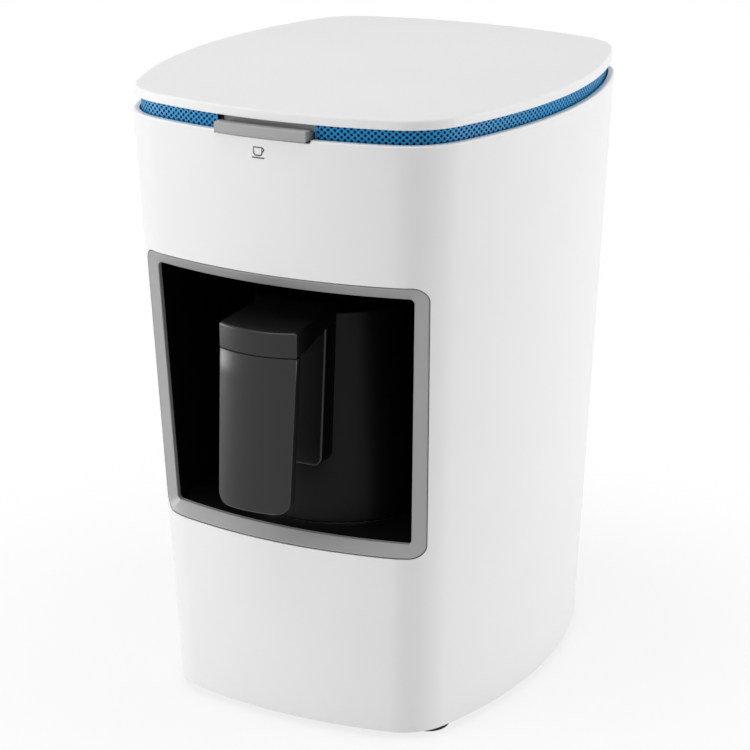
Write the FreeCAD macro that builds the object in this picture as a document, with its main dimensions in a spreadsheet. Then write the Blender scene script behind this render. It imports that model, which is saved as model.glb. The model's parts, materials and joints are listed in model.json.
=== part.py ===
import FreeCAD, Part
import Sketcher
import math
import os
import re
from FreeCAD import Vector

# Electric turkish coffee maker: a tapered housing with a heated bay in its front,
# a pot that pulls out of the bay, and a start button under the lid.
# Millimetres, +Z up, the feet stand on z = 0, the front looks along -Y.
# Depths (y) are measured from the middle of the housing's top, and the last step
# moves every piece back so that the whole object is centred on the origin.

SIZES = (
    # Housing
    ("foot_height", 3.5), ("foot_radius", 9), ("foot_edge", 1),
    ("foot_in_side", 21.75), ("foot_in_front", 26.5), ("foot_in_back", 24.7),
    ("shell_height", 250), ("shell_wall", 2.5), ("shell_edge", 0.8),
    ("top_width", 175.5), ("top_depth", 197.3), ("top_corner", 30),
    ("bottom_width", 149.5), ("bottom_depth", 175.2), ("bottom_corner", 23.5),
    ("bottom_shift", 1.1), ("front_bow", 205), ("side_bow", 198),
    ("ring_show", 5.9), ("ring_inset", 3.3), ("ring_wall", 1.2),
    ("lid_thick", 4), ("lid_inset", 1), ("lid_edge", 1),
    ("fit_gap", 0.3), ("base_thick", 2.5),
    ("vent_pitch", 9), ("vent_wide", 3), ("vent_long", 34), ("vent_front", 55),
    # Bay in the front of the housing
    ("bay_floor", 87.6), ("bay_ceiling", 191.8), ("bay_half_top", 58.5),
    ("bay_half_bottom", 55), ("bay_corner", 2), ("bay_back", 9),
    ("bezel_rail", 5.1), ("bezel_side_top", 5.9), ("bezel_side_bottom", 5.8),
    ("bezel_corner", 5.6), ("bezel_recess", 3.8),
    ("bezel_deep", 6), ("liner_wall", 2),
    # How far a cutting shape runs past what it cuts
    ("cut_over", 5),
    # Heater under the bay
    ("pot_y", -37.5), ("plate_radius", 38), ("plate_thick", 4), ("seal_width", 2.4),
    ("seal_deep", 3), ("coil_radius", 25), ("coil_tube", 3.2), ("coil_angle", 310),
    ("coil_leg", 14), ("tray_radius", 42), ("tray_deep", 14), ("tray_wall", 1),
    ("tray_flange", 3), ("leg_room", 1), ("thermostat_radius", 8), ("thermostat_height", 7),
    ("fuse_radius", 2.2), ("fuse_long", 12), ("fuse_place", 15),
    # Pot
    ("pot_base_radius", 41), ("pot_rim_radius", 34.5), ("rim_room", 15.3),
    ("pot_wall", 1.4), ("pot_disc_thick", 3), ("pot_disc_inset", 1),
    # Handle
    ("handle_reach", 107.5), ("handle_lean", 5), ("handle_bow", 42.5), ("handle_width", 35),
    ("grip_bottom_width", 32.6), ("grip_deep", 7.5), ("grip_lift", 15.9),
    ("grip_corner", 5.5), ("hood_head", 10), ("hood_front_rise", 1), ("hood_rise", 3.9),
    ("hood_back_width", 31.5), ("hood_lap", 4.2),
    ("mount_width", 31.5), ("mount_top_reach", 39.3), ("mount_foot_reach", 44.8),
    ("mount_long", 57.2), ("mount_corner", 4), ("handle_edge", 0.8),
    ("stud_radius", 1.5), ("stud_spread", 8), ("stud_in", 4.1), ("stud_deep", 8),
    ("rivet_radius", 1.8), ("rivet_margin", 13.2), ("rivet_pitch", 26), ("rivet_deep", 3),
    # Start button
    ("button_half", 20.3), ("button_proud", 1.65), ("button_bar_deep", 5.3),
    ("button_low", 252.6), ("button_high", 257.2), ("ledge_drop", 1.4),
    ("ledge_deep", 3.6), ("web_thick", 1.5), ("button_travel", 1.5),
    ("button_edge", 0.5), ("notch_half", 21.4), ("notch_drop", 1.3),
    ("ring_gap_half", 21.6), ("stem_half", 3), ("stem_low", 253.2), ("stem_high", 256),
    ("spring_long", 5.5), ("guide_thick", 2.4), ("guide_wall", 1.6), ("spring_gap", 0.075),
    ("spring_side", 11), ("spring_radius", 1.8), ("spring_wire", 0.35),
    ("spring_turns", 5), ("plunger_radius", 1), ("plunger_reach", 3.2), ("plunger_in", 1),
    ("switch_gap", 2), ("switch_deep", 6), ("switch_half", 6.4),
    # Deck under the lid
    ("deck_height", 246), ("deck_thick", 2.5), ("boss_radius", 4), ("boss_in_side", 27.75),
    ("boss_in_front", 32.65), ("boss_in_back", 28.65), ("screw_radius", 1.5), ("screw_head", 2.8),
    ("head_high", 1.8), ("lid_screw_deep", 8),
    # Pillars between base, bay and deck
    ("pillar_radius", 4.5), ("pillar_side", 51.5), ("pillar_front", 44),
    ("pillar_back", 2), ("pillar_screw", 12),
    # Boards
    ("board_thick", 1.6), ("board_in", 46.7), ("board_half", 42), ("board_deep", 60),
    ("board_lift", 9), ("standoff_radius", 3), ("standoff_margin", 5),
    ("relay_wide", 19), ("relay_deep", 15.5), ("relay_high", 15.5), ("relay_in", 12),
    ("transformer_wide", 28), ("transformer_deep", 24), ("transformer_high", 22),
    ("transformer_in", 11), ("parts_margin", 10), ("capacitor_side", 6), ("capacitor_in", 20),
    ("capacitor_radius", 5), ("capacitor_high", 18), ("terminal_wide", 26),
    ("terminal_deep", 10), ("terminal_high", 11), ("terminal_in", 8), ("control_half", 24),
    ("control_deep", 26), ("control_in", 40.65), ("control_lift", 3), ("chip_side", 9),
    ("chip_high", 1.4), ("buzzer_radius", 5), ("buzzer_high", 4.5), ("buzzer_in", 9),
    ("led_radius", 1.5), ("led_high", 3.5), ("led_in", 5), ("led_side", 7), ("led_pitch", 5),
    # Sensor over the bay
    ("sensor_y", -37.5), ("window_radius", 9), ("window_thick", 2), ("sensor_lip", 2.5),
    ("sensor_wall", 1.4), ("sensor_high", 12),
    # Cord inlet
    ("gland_height", 24), ("gland_bore", 3.6), ("gland_radius", 6.2), ("gland_flange", 9),
    ("gland_flange_thick", 2), ("clamp_wide", 24), ("clamp_deep", 8), ("clamp_in", 10.7),
    ("clamp_rise", 5.2), ("harness_radius", 2.6), ("harness_in", 10), ("harness_bend", 5.2),
    ("lead_radius", 1.3), ("lead_bend", 5), ("lead_low", 34), ("lead_high", 42),
    ("lead_near", 15), ("lead_far", 25),
)

doc = FreeCAD.newDocument("coffee_maker")
sheet = doc.addObject("Spreadsheet::Sheet", "dims")
for row, (name, number) in enumerate(SIZES, start=1):
    sheet.set("A%d" % row, name)
    sheet.set("B%d" % row, str(number))
    sheet.setAlias("B%d" % row, name)
doc.recompute()

NAMES = {name for name, _ in SIZES}
WORD = re.compile(r"[a-z]\w*")
X, Y, Z = Vector(1, 0, 0), Vector(0, 1, 0), Vector(0, 0, 1)
SLIVER = 1e-6
NEAR = 0.01
MOSTLY = 0.9
SIDES = (-1, 1)
QUARTERS = ((1, -1), (1, 1), (-1, 1), (-1, -1))
VENT_STEPS = range(-3, 4)
CURVE_STEPS = 4


def linked(expression):
    """The expression with each size named as it is read from outside the sheet."""
    return WORD.sub(lambda m: "dims." + m.group() if m.group() in NAMES else m.group(), expression)


def value(expression):
    """The number that an expression gives with the sheet's present sizes."""
    return float(sheet.evalExpression(expression))


def bind(thing, prop, expression):
    thing.setExpression(prop, linked(expression))


# Places and lengths that several pieces share, as expressions of the sheet

CENTRING = "(handle_reach + handle_lean - top_depth / 2) / 2"
SHELL_TOP = "(foot_height + shell_height)"
BASE_TOP = "(foot_height + base_thick)"
DECK_TOP = "(deck_height + deck_thick)"
LID_UNDER = "(foot_height + shell_height + ring_show)"
LINER_UNDER = "(bay_floor - liner_wall)"
LINER_OVER = "(bay_ceiling + liner_wall)"
PLATE_UNDER = "(bay_floor - plate_thick)"
POT_BOTTOM = "(bay_floor + fit_gap)"
POT_FLOOR = "(bay_floor + fit_gap + pot_disc_thick)"
BOARD_UNDER = "(foot_height + base_thick + board_lift)"
BOARD_TOP = "(foot_height + base_thick + board_lift + board_thick)"
CONTROL_UNDER = "(deck_height + deck_thick + control_lift)"
CONTROL_TOP = "(deck_height + deck_thick + control_lift + board_thick)"
BASE_BACK = "(bottom_depth / 2 + bottom_shift)"
FOOT_SIDE = "(bottom_width / 2 - foot_in_side)"
FOOT_FRONT = "(bottom_depth / 2 - bottom_shift - foot_in_front)"
FOOT_BACK = "(%s - foot_in_back)" % BASE_BACK
CLAMP_Y = "(%s - clamp_in)" % BASE_BACK
BOARD_FRONT = "(%s - board_in - board_deep / 2)" % BASE_BACK
BOARD_BACK = "(%s - board_in + board_deep / 2)" % BASE_BACK
HARNESS_Y = "(%s - harness_in)" % BOARD_BACK
CONTROL_Y = "(control_in - top_depth / 2)"
BUTTON_FRONT = "(top_depth / 2 + button_proud)"
BAR_BACK = "(top_depth / 2 + button_proud - button_bar_deep)"
WEB_BACK = "(top_depth / 2 + button_proud - button_bar_deep - ledge_deep - web_thick)"
GUIDE_FRONT = "(%s - spring_long)" % WEB_BACK
GUIDE_BACK = "(%s - spring_long - guide_thick)" % WEB_BACK
SWITCH_FRONT = "(%s - switch_gap)" % GUIDE_BACK
STEM_MIDDLE = "((stem_low + stem_high) / 2)"
BOSS_SIDE = "(top_width / 2 - boss_in_side)"
BOSS_FRONT = "(top_depth / 2 - boss_in_front)"
BOSS_BACK = "(top_depth / 2 - boss_in_back)"
BEZEL_FLOOR = "(bay_floor - bezel_rail)"
BEZEL_CEILING = "(bay_ceiling + bezel_rail)"
BEZEL_BOTTOM = "(bay_half_bottom + bezel_side_bottom)"
BEZEL_TOP = "(bay_half_top + bezel_side_top)"
POT_RIM = "(bay_ceiling - rim_room)"
HOOD_FRONT_TOP = "(bay_ceiling - rim_room + hood_front_rise)"
HOOD_BACK_TOP = "(bay_ceiling - rim_room + hood_rise)"
HOOD_SEAM = "(bay_ceiling - rim_room + hood_front_rise - hood_head)"
HOOD_UNDER = "(bay_ceiling - rim_room - hood_lap)"
GRIP_TOP = "(%s - fit_gap)" % HOOD_SEAM
GRIP_BOTTOM = "(bay_floor + grip_lift)"
GRIP_BACK = "(handle_reach - grip_deep)"
STUD_Y = "(handle_reach - stud_in)"
MOUNT_TOP = "(%s - fit_gap)" % HOOD_UNDER
MOUNT_BOTTOM = "(%s - mount_long)" % MOUNT_TOP
MOUNT_TOP_Y = "(mount_top_reach - pot_y)"
MOUNT_FOOT_Y = "(mount_foot_reach - pot_y)"
RIVET_HEIGHTS = ["(%s + rivet_margin)" % MOUNT_BOTTOM, "(%s + rivet_margin + rivet_pitch)" % MOUNT_BOTTOM]
HANDLE_SIDE = "(sqrt(handle_bow ^ 2 - (handle_width / 2) ^ 2))"


def at_height(bottom, top, height):
    """A size of the housing's outline, part of the way up from bottom to top."""
    return "(%s + (%s - %s) * (%s - foot_height) / shell_height)" % (bottom, top, bottom, height)


def housing_outline(height, inset="0"):
    """The housing's outline at a height, drawn in by an even inset."""
    return {
        "width": "(%s - 2 * (%s))" % (at_height("bottom_width", "top_width", height), inset),
        "depth": "(%s - 2 * (%s))" % (at_height("bottom_depth", "top_depth", height), inset),
        "corner": "(%s - (%s))" % (at_height("bottom_corner", "top_corner", height), inset),
        "shift": at_height("bottom_shift", "0", height),
        "bow": "(front_bow - (%s))" % inset,
        "side": "(side_bow - (%s))" % inset,
    }


def front_at(height):
    """How far the middle of the housing's front lies before the top's middle."""
    outline = housing_outline(height)
    return "(%s / 2 - %s)" % (outline["depth"], outline["shift"])


def back_at(height):
    outline = housing_outline(height)
    return "(%s / 2 + %s)" % (outline["depth"], outline["shift"])


# Outlines and how pieces grow from them

def new_body(label):
    body = doc.addObject("PartDesign::Body", label)
    body.Label = label
    bind(body, "Placement.Base.y", CENTRING)
    return body


def sketch_on(body, plane, offset="0"):
    """An outline on a main plane: XY_Plane looks up, XZ_Plane to the front, YZ_Plane right."""
    support = next(f for f in body.Origin.OriginFeatures if f.Role == plane)
    sketch = body.newObject("Sketcher::SketchObject", body.Name + "_sketch")
    sketch.AttachmentSupport = (support, "")
    sketch.MapMode = "FlatFace"
    bind(sketch, "AttachmentOffset.Base.z", offset)
    return sketch


def fixed(sketch, kind, places, expression):
    """A constraint whose size comes from the sheet."""
    index = sketch.addConstraint(Sketcher.Constraint(kind, *places, value(expression)))
    bind(sketch, "Constraints[%d]" % index, expression)


def pin_point(sketch, geometry, place, x, y):
    """Ties a point to the sketch's axes."""
    for kind, expression in (("DistanceX", x), ("DistanceY", y)):
        fixed(sketch, kind, (-1, 1, geometry, place), expression)


def circle(sketch, x, y, radius):
    centre = Vector(value(x), value(y), 0)
    index = sketch.addGeometry(Part.Circle(centre, Z, value(radius)))
    pin_point(sketch, index, 3, x, y)
    fixed(sketch, "Radius", (index,), radius)


def polygon(sketch, corners):
    """A closed outline of straight lines through the corners."""
    points = [Vector(value(x), value(y), 0) for x, y in corners]
    lines = [sketch.addGeometry(Part.LineSegment(a, b)) for a, b in zip(points, points[1:] + points[:1])]
    for first, second in zip(lines, lines[1:] + lines[:1]):
        sketch.addConstraint(Sketcher.Constraint("Coincident", first, 2, second, 1))
    for line, (x, y) in zip(lines, corners):
        pin_point(sketch, line, 1, x, y)
    return lines


def box_outline(sketch, x_low, x_high, y_low, y_high):
    polygon(sketch, [(x_low, y_low), (x_high, y_low), (x_high, y_high), (x_low, y_high)])


def rounded_polygon(sketch, corners, radius):
    """A closed outline of lines, each corner rounded; the sharp corners stay as marks."""
    points = [Vector(value(x), value(y), 0) for x, y in corners]
    r = value(radius)
    count = len(points)
    ends = []
    for i, corner in enumerate(points):
        to_last = (points[i - 1] - corner).normalize()
        to_next = (points[(i + 1) % count] - corner).normalize()
        half = to_last.getAngle(to_next) / 2
        reach = r / math.tan(half)
        middle = corner + (to_last + to_next).normalize() * (r / math.sin(half))
        ends.append((corner + to_last * reach, corner + to_next * reach, middle))
    lines = [
        sketch.addGeometry(Part.LineSegment(ends[i][1], ends[(i + 1) % count][0]))
        for i in range(count)
    ]
    arcs = []
    for start, end, middle in ends:
        angles = [math.atan2(p.y - middle.y, p.x - middle.x) for p in (start, end)]
        round_part = Part.Circle(middle, Z, r)
        arcs.append(sketch.addGeometry(Part.ArcOfCircle(round_part, *angles)))
    for i, arc in enumerate(arcs):
        sketch.addConstraint(Sketcher.Constraint("Tangent", lines[i - 1], 2, arc, 1))
        sketch.addConstraint(Sketcher.Constraint("Tangent", arc, 2, lines[i], 1))
        fixed(sketch, "Radius", (arc,), radius)
        mark = sketch.addGeometry(Part.Point(points[i]), True)
        for line in (lines[i - 1], lines[i]):
            sketch.addConstraint(Sketcher.Constraint("PointOnObject", mark, 1, line))
        pin_point(sketch, mark, 1, *corners[i])


def bowed_outline(sketch, outline):
    """Four shallow arcs and four round corners, all tangent, symmetric about x = 0."""
    bow, side, corner = (value(outline[key]) for key in ("bow", "side", "corner"))
    shift = outline["shift"]
    reaches = [
        ("0", "(%s - %s / 2 + %s)" % (shift, outline["depth"], outline["bow"]), bow, "bow"),
        ("(%s / 2 - %s)" % (outline["width"], outline["side"]), shift, side, "side"),
        ("0", "(%s + %s / 2 - %s)" % (shift, outline["depth"], outline["bow"]), bow, "bow"),
        ("(%s - %s / 2)" % (outline["side"], outline["width"]), shift, side, "side"),
    ]
    middles = [Vector(value(x), value(y), 0) for x, y, _, _ in reaches]
    radii = [r for _, _, r, _ in reaches]

    corners = []
    for i in range(4):
        one, two = middles[i], middles[(i + 1) % 4]
        near, far = radii[i] - corner, radii[(i + 1) % 4] - corner
        span = two - one
        along = (span.Length ** 2 + near ** 2 - far ** 2) / (2 * span.Length)
        across = math.sqrt(near ** 2 - along ** 2)
        ahead = span.normalize()
        left = Vector(-ahead.y, ahead.x, 0)
        choices = [one + ahead * along + left * (turn * across) for turn in SIDES]
        quarter = Vector(*QUARTERS[i], 0)
        corners.append(max(choices, key=lambda p: p.dot(quarter)))

    arcs = []
    for i in range(4):
        for middle, radius, first, second in (
            (middles[i], radii[i], (middles[i], corners[i - 1]), (middles[i], corners[i])),
            (corners[i], corner, (middles[i], corners[i]), (middles[(i + 1) % 4], corners[i])),
        ):
            angles = [math.atan2(b.y - a.y, b.x - a.x) for a, b in (first, second)]
            if angles[1] < angles[0]:
                angles[1] += 2 * math.pi
            full = Part.Circle(middle, Z, radius)
            arcs.append(sketch.addGeometry(Part.ArcOfCircle(full, *angles)))
    for i, arc in enumerate(arcs):
        sketch.addConstraint(Sketcher.Constraint("Tangent", arc, 2, arcs[(i + 1) % len(arcs)], 1))
    for i, (x, y, _, kind) in enumerate(reaches):
        fixed(sketch, "Radius", (arcs[2 * i],), outline[kind])
        fixed(sketch, "Radius", (arcs[2 * i + 1],), outline["corner"])
        pin_point(sketch, arcs[2 * i], 3, x, y)


def bowed_plan(sketch, half, half_far, middle_y, corner_y, far_y, bow):
    """An arc that bulges to the front between two corners, and three lines to a straight far side."""
    across, narrow = value(half), value(half_far)
    centre, near, far = value(middle_y), value(corner_y), value(far_y)
    tilt = math.atan2(near - centre, across)
    full = Part.Circle(Vector(0, centre, 0), Z, value(bow))
    arc = sketch.addGeometry(Part.ArcOfCircle(full, math.pi - tilt, tilt + 2 * math.pi))
    points = [Vector(x, y, 0) for x, y in ((across, near), (narrow, far), (-narrow, far), (-across, near))]
    lines = [sketch.addGeometry(Part.LineSegment(a, b)) for a, b in zip(points, points[1:])]
    for first, second in ((arc, lines[0]), (lines[0], lines[1]), (lines[1], lines[2]), (lines[2], arc)):
        sketch.addConstraint(Sketcher.Constraint("Coincident", first, 2, second, 1))
    pin_point(sketch, arc, 3, "0", middle_y)
    pin_point(sketch, lines[1], 1, half_far, far_y)
    pin_point(sketch, lines[1], 2, "-(%s)" % half_far, far_y)
    fixed(sketch, "DistanceX", (-1, 1, lines[0], 1), half)
    fixed(sketch, "DistanceX", (-1, 1, lines[2], 2), "-(%s)" % half)
    fixed(sketch, "Radius", (arc,), bow)


def before_front(sketch, height, recess):
    """Everything before the housing's bowed front, from a recess behind it forwards."""
    half = "(%s / 2)" % housing_outline(height)["width"]
    middle_y = "(front_bow + (%s) - %s)" % (recess, front_at(height))
    side_y = "(%s - sqrt(front_bow ^ 2 - %s ^ 2))" % (middle_y, half)
    bowed_plan(sketch, half, half, middle_y, side_y, "-top_depth", "front_bow")


def grow(body, kind, sketch, length, reverse=False):
    """Adds or takes away what a flat outline sweeps over a length."""
    before = volume_of(body)
    feature = body.newObject("PartDesign::" + kind, body.Name + "_" + kind.lower())
    feature.Profile = sketch
    bind(feature, "Length", length)
    feature.Reversed = reverse
    doc.recompute()
    check_change(body, feature, before)
    return feature


def turn(body, kind, sketch, axis="V_Axis"):
    """Adds or takes away what an outline sweeps in a full turn."""
    before = volume_of(body)
    feature = body.newObject("PartDesign::" + kind, body.Name + "_" + kind.lower())
    feature.Profile = sketch
    feature.ReferenceAxis = (sketch, [axis])
    feature.Angle = 360
    doc.recompute()
    check_change(body, feature, before)
    return feature


def loft(body, kind, first, second):
    """Adds or takes away what lies between two outlines, with straight sides."""
    before = volume_of(body)
    feature = body.newObject("PartDesign::" + kind, body.Name + "_" + kind.lower())
    feature.Profile = first
    feature.Sections = [second]
    feature.Ruled = True
    doc.recompute()
    check_change(body, feature, before)
    return feature


def round_edges(body, radius, wanted):
    """Rounds the edges for which wanted(edge) is true."""
    base = body.Tip
    names = ["Edge%d" % (i + 1) for i, edge in enumerate(base.Shape.Edges) if wanted(edge)]
    before = volume_of(body)
    feature = body.newObject("PartDesign::Fillet", body.Name + "_fillet")
    feature.Base = (base, names)
    bind(feature, "Radius", radius)
    doc.recompute()
    check_change(body, feature, before)
    return feature


def volume_of(body):
    return body.Tip.Shape.Volume if body.Tip and not body.Tip.Shape.isNull() else 0


def check_change(body, feature, before):
    """Stops where a feature failed, or the piece's volume moved the wrong way or not at all."""
    after = volume_of(body)
    cuts = feature.TypeId.endswith(("Pocket", "Groove", "SubtractiveLoft", "Fillet"))
    if not feature.isValid() or after < SLIVER or (before - after if cuts else after - before) < SLIVER:
        raise RuntimeError("%s: %s leaves %.3f of %.3f" % (body.Label, feature.Name, after, before))


def ends_of(edge):
    return [vertex.Point for vertex in edge.Vertexes]


def runs_along(edge, axis):
    """True for an edge whose ends differ mostly along one axis."""
    points = ends_of(edge)
    if len(points) < 2:
        return False
    span = points[1] - points[0]
    return abs(span.dot(axis)) > MOSTLY * span.Length


def lies_at(edge, axis, place):
    """True for an edge that lies in the plane square to an axis at a place."""
    box = edge.BoundBox
    low = Vector(box.XMin, box.YMin, box.ZMin).dot(axis)
    high = Vector(box.XMax, box.YMax, box.ZMax).dot(axis)
    return abs(low - place) < NEAR and abs(high - place) < NEAR


def upright(label, circles, low, length, bores=()):
    """Upright round pieces: circles is a list of (x, y, radius), bores the same."""
    body = new_body(label)
    sketch = sketch_on(body, "XY_Plane", low)
    for place in circles:
        circle(sketch, *place)
    for place in bores:
        circle(sketch, *place)
    grow(body, "Pad", sketch, length)
    return body


def block(label, x_low, x_high, y_low, y_high, low, length):
    """A block that stands at a height."""
    body = new_body(label)
    sketch = sketch_on(body, "XY_Plane", low)
    box_outline(sketch, x_low, x_high, y_low, y_high)
    grow(body, "Pad", sketch, length)
    return body


def four(side, front, back):
    """Four places, two at the front and two at the back."""
    return [(sign + side, y) for y in ("-" + front, back) for sign in ("-", "")]


def screws(label, places, head_low, shank_low, shank_length, radius="screw_radius"):
    """Screws with round heads and plain shanks, all upright."""
    body = new_body(label)
    heads = sketch_on(body, "XY_Plane", head_low)
    for x, y in places:
        circle(heads, x, y, "screw_head")
    grow(body, "Pad", heads, "head_high")
    shanks = sketch_on(body, "XY_Plane", shank_low)
    for x, y in places:
        circle(shanks, x, y, radius)
    grow(body, "Pad", shanks, shank_length)
    return body


def drill(body, plane, offset, places, length, reverse=False):
    """Round holes; places is a list of (x, y, radius) in the sketch."""
    sketch = sketch_on(body, plane, offset)
    for place in places:
        circle(sketch, *place)
    return grow(body, "Pocket", sketch, length, reverse)


# Housing

BAY_CORNERS = [
    ("-bay_half_bottom", "bay_floor"), ("bay_half_bottom", "bay_floor"),
    ("bay_half_top", "bay_ceiling"), ("-bay_half_top", "bay_ceiling"),
]
OPENING_CORNERS = [
    ("-(%s + fit_gap)" % BEZEL_BOTTOM, BEZEL_FLOOR + " - fit_gap"),
    (BEZEL_BOTTOM + " + fit_gap", BEZEL_FLOOR + " - fit_gap"),
    (BEZEL_TOP + " + fit_gap", BEZEL_CEILING + " + fit_gap"),
    ("-(%s + fit_gap)" % BEZEL_TOP, BEZEL_CEILING + " + fit_gap"),
]


def make_outer_shell():
    body = new_body("outer_shell")
    for kind, inset in (("AdditiveLoft", "0"), ("SubtractiveLoft", "shell_wall")):
        ends = []
        for height in ("foot_height", SHELL_TOP):
            ends.append(sketch_on(body, "XY_Plane", height))
            bowed_outline(ends[-1], housing_outline(height, inset))
        loft(body, kind, *ends)
    rim = value(SHELL_TOP)
    outer_radii = [value(name) for name in ("front_bow", "side_bow", "top_corner")]
    round_edges(body, "shell_edge", lambda edge: lies_at(edge, Z, rim)
                and any(abs(edge.Curve.Radius - radius) < NEAR for radius in outer_radii))
    opening = sketch_on(body, "XZ_Plane", "-bay_back")
    rounded_polygon(opening, OPENING_CORNERS, "bezel_corner + fit_gap")
    grow(body, "Pocket", opening, "top_depth", reverse=True)
    notch = sketch_on(body, "XZ_Plane")
    box_outline(notch, "-notch_half", "notch_half", SHELL_TOP + " - notch_drop", SHELL_TOP + " + cut_over")
    grow(body, "Pocket", notch, "top_depth", reverse=True)
    drill(body, "XZ_Plane", "0", [("0", "gland_height", "gland_radius + fit_gap")], "top_depth")
    return body


def make_lid():
    body = new_body("lid")
    plate = sketch_on(body, "XY_Plane", LID_UNDER)
    bowed_outline(plate, housing_outline(SHELL_TOP, "lid_inset"))
    grow(body, "Pad", plate, "lid_thick")
    top = value(LID_UNDER + " + lid_thick")
    round_edges(body, "lid_edge", lambda edge: lies_at(edge, Z, top))
    bosses = sketch_on(body, "XY_Plane", DECK_TOP)
    for x, y in four(BOSS_SIDE, BOSS_FRONT, BOSS_BACK):
        circle(bosses, x, y, "boss_radius")
    grow(body, "Pad", bosses, "ring_show + foot_height + shell_height - deck_height - deck_thick")
    drill(body, "XY_Plane", DECK_TOP,
          [place + ("screw_radius",) for place in four(BOSS_SIDE, BOSS_FRONT, BOSS_BACK)],
          "lid_screw_deep", reverse=True)
    return body


def make_mesh_ring():
    body = new_body("mesh_ring")
    band = sketch_on(body, "XY_Plane", DECK_TOP)
    bowed_outline(band, housing_outline(SHELL_TOP, "ring_inset"))
    bowed_outline(band, housing_outline(SHELL_TOP, "ring_inset + ring_wall"))
    grow(body, "Pad", band, LID_UNDER + " - " + DECK_TOP)
    gap = sketch_on(body, "XZ_Plane")
    box_outline(gap, "-ring_gap_half", "ring_gap_half", DECK_TOP + " - cut_over", LID_UNDER + " + cut_over")
    grow(body, "Pocket", gap, "top_depth", reverse=True)
    return body


def make_top_deck():
    body = new_body("top_deck")
    plate = sketch_on(body, "XY_Plane", "deck_height")
    bowed_outline(plate, housing_outline("deck_height", "shell_wall + fit_gap"))
    grow(body, "Pad", plate, "deck_thick")
    holes = [place + ("screw_radius",) for place in four(BOSS_SIDE, BOSS_FRONT, BOSS_BACK)]
    holes += [place + ("screw_radius",) for place in four("pillar_side", "pillar_front", "pillar_back")]
    holes.append(("0", HARNESS_Y, "harness_radius + fit_gap"))
    drill(body, "XY_Plane", "deck_height", holes, "deck_thick", reverse=True)
    return body


def make_base_plate():
    body = new_body("base_plate")
    plate = sketch_on(body, "XY_Plane", "foot_height")
    bowed_outline(plate, housing_outline("foot_height", "shell_wall + fit_gap"))
    grow(body, "Pad", plate, "base_thick")
    holes = [place + ("screw_radius",) for place in four("pillar_side", "pillar_front", "pillar_back")]
    drill(body, "XY_Plane", "foot_height", holes, "base_thick", reverse=True)
    vents = sketch_on(body, "XY_Plane", "foot_height")
    for step in VENT_STEPS:
        middle = "%d * vent_pitch" % step
        box_outline(vents, "%s - vent_wide / 2" % middle, "%s + vent_wide / 2" % middle,
                    "-vent_front", "-vent_front + vent_long")
    grow(body, "Pocket", vents, "base_thick", reverse=True)
    return body


def make_feet():
    places = [place + ("foot_radius",) for place in four(FOOT_SIDE, FOOT_FRONT, FOOT_BACK)]
    body = upright("feet", places, "0", "foot_height")
    round_edges(body, "foot_edge", lambda edge: lies_at(edge, Z, 0))
    return body


# Frame round the bay: its face slopes inwards from the housing's surface

def on_front(x, z, recess):
    """A point on the bowed, leaning front, a recess behind its surface."""
    bow = value("front_bow")
    lean = (value(SHELL_TOP) - z) / value("shell_height")
    top = value("top_depth") / 2
    bottom = value("bottom_depth / 2 - bottom_shift")
    return Vector(x, -top + (top - bottom) * lean + bow - math.sqrt(bow ** 2 - x ** 2) + recess, z)


def bezel_wire(corners, radius, recess):
    """A rounded quadrilateral laid on the front: four sides and four round corners."""
    steps = range(CURVE_STEPS + 1)
    count = len(corners)
    edges = []
    rounds = []
    for i, corner in enumerate(corners):
        to_last = (corners[i - 1] - corner).normalize()
        to_next = (corners[(i + 1) % count] - corner).normalize()
        half = to_last.getAngle(to_next) / 2
        middle = corner + (to_last + to_next).normalize() * (radius / math.sin(half))
        first = corner + to_last * (radius / math.tan(half)) - middle
        sweep = (math.pi - 2 * half) / CURVE_STEPS
        turned = []
        for step in steps:
            cos, sin = math.cos(sweep * step), math.sin(sweep * step)
            turned.append(middle + Vector(first.x * cos - first.y * sin, first.x * sin + first.y * cos, 0))
        rounds.append(turned)
    for i in range(count):
        start, end = rounds[i][-1], rounds[(i + 1) % count][0]
        straight = [start + (end - start) * (step / CURVE_STEPS) for step in steps]
        for flat in (rounds[i], straight):
            curve = Part.BSplineCurve()
            curve.interpolate([on_front(p.x, p.y, recess) for p in flat])
            edges.append(curve.toShape())
    return Part.Wire(edges)


def make_opening_bezel():
    def corners(half_bottom, half_top, floor, ceiling):
        low, high = value(floor), value(ceiling)
        return [Vector(-value(half_bottom), low), Vector(value(half_bottom), low),
                Vector(value(half_top), high), Vector(-value(half_top), high)]

    outer = corners(BEZEL_BOTTOM, BEZEL_TOP, BEZEL_FLOOR, BEZEL_CEILING)
    inner = corners("bay_half_bottom", "bay_half_top", "bay_floor", "bay_ceiling")
    rings = [
        bezel_wire(outer, value("bezel_corner"), 0),
        bezel_wire(inner, value("bay_corner"), value("bezel_recess")),
        bezel_wire(inner, value("bay_corner"), value("bezel_deep")),
        bezel_wire(outer, value("bezel_corner"), value("bezel_deep")),
    ]
    faces = []
    for one, two in zip(rings, rings[1:] + rings[:1]):
        faces += Part.makeLoft([one, two], False, True).Faces
    skin = Part.makeShell(faces)
    skin.sewShape()
    solid = Part.makeSolid(Part.makeShell(skin.Faces))
    if solid.Volume < 0:
        solid.reverse()
    piece = doc.addObject("Part::Feature", "opening_bezel")
    piece.Label = "opening_bezel"
    piece.Shape = solid
    bind(piece, "Placement.Base.y", CENTRING)
    return piece


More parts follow.
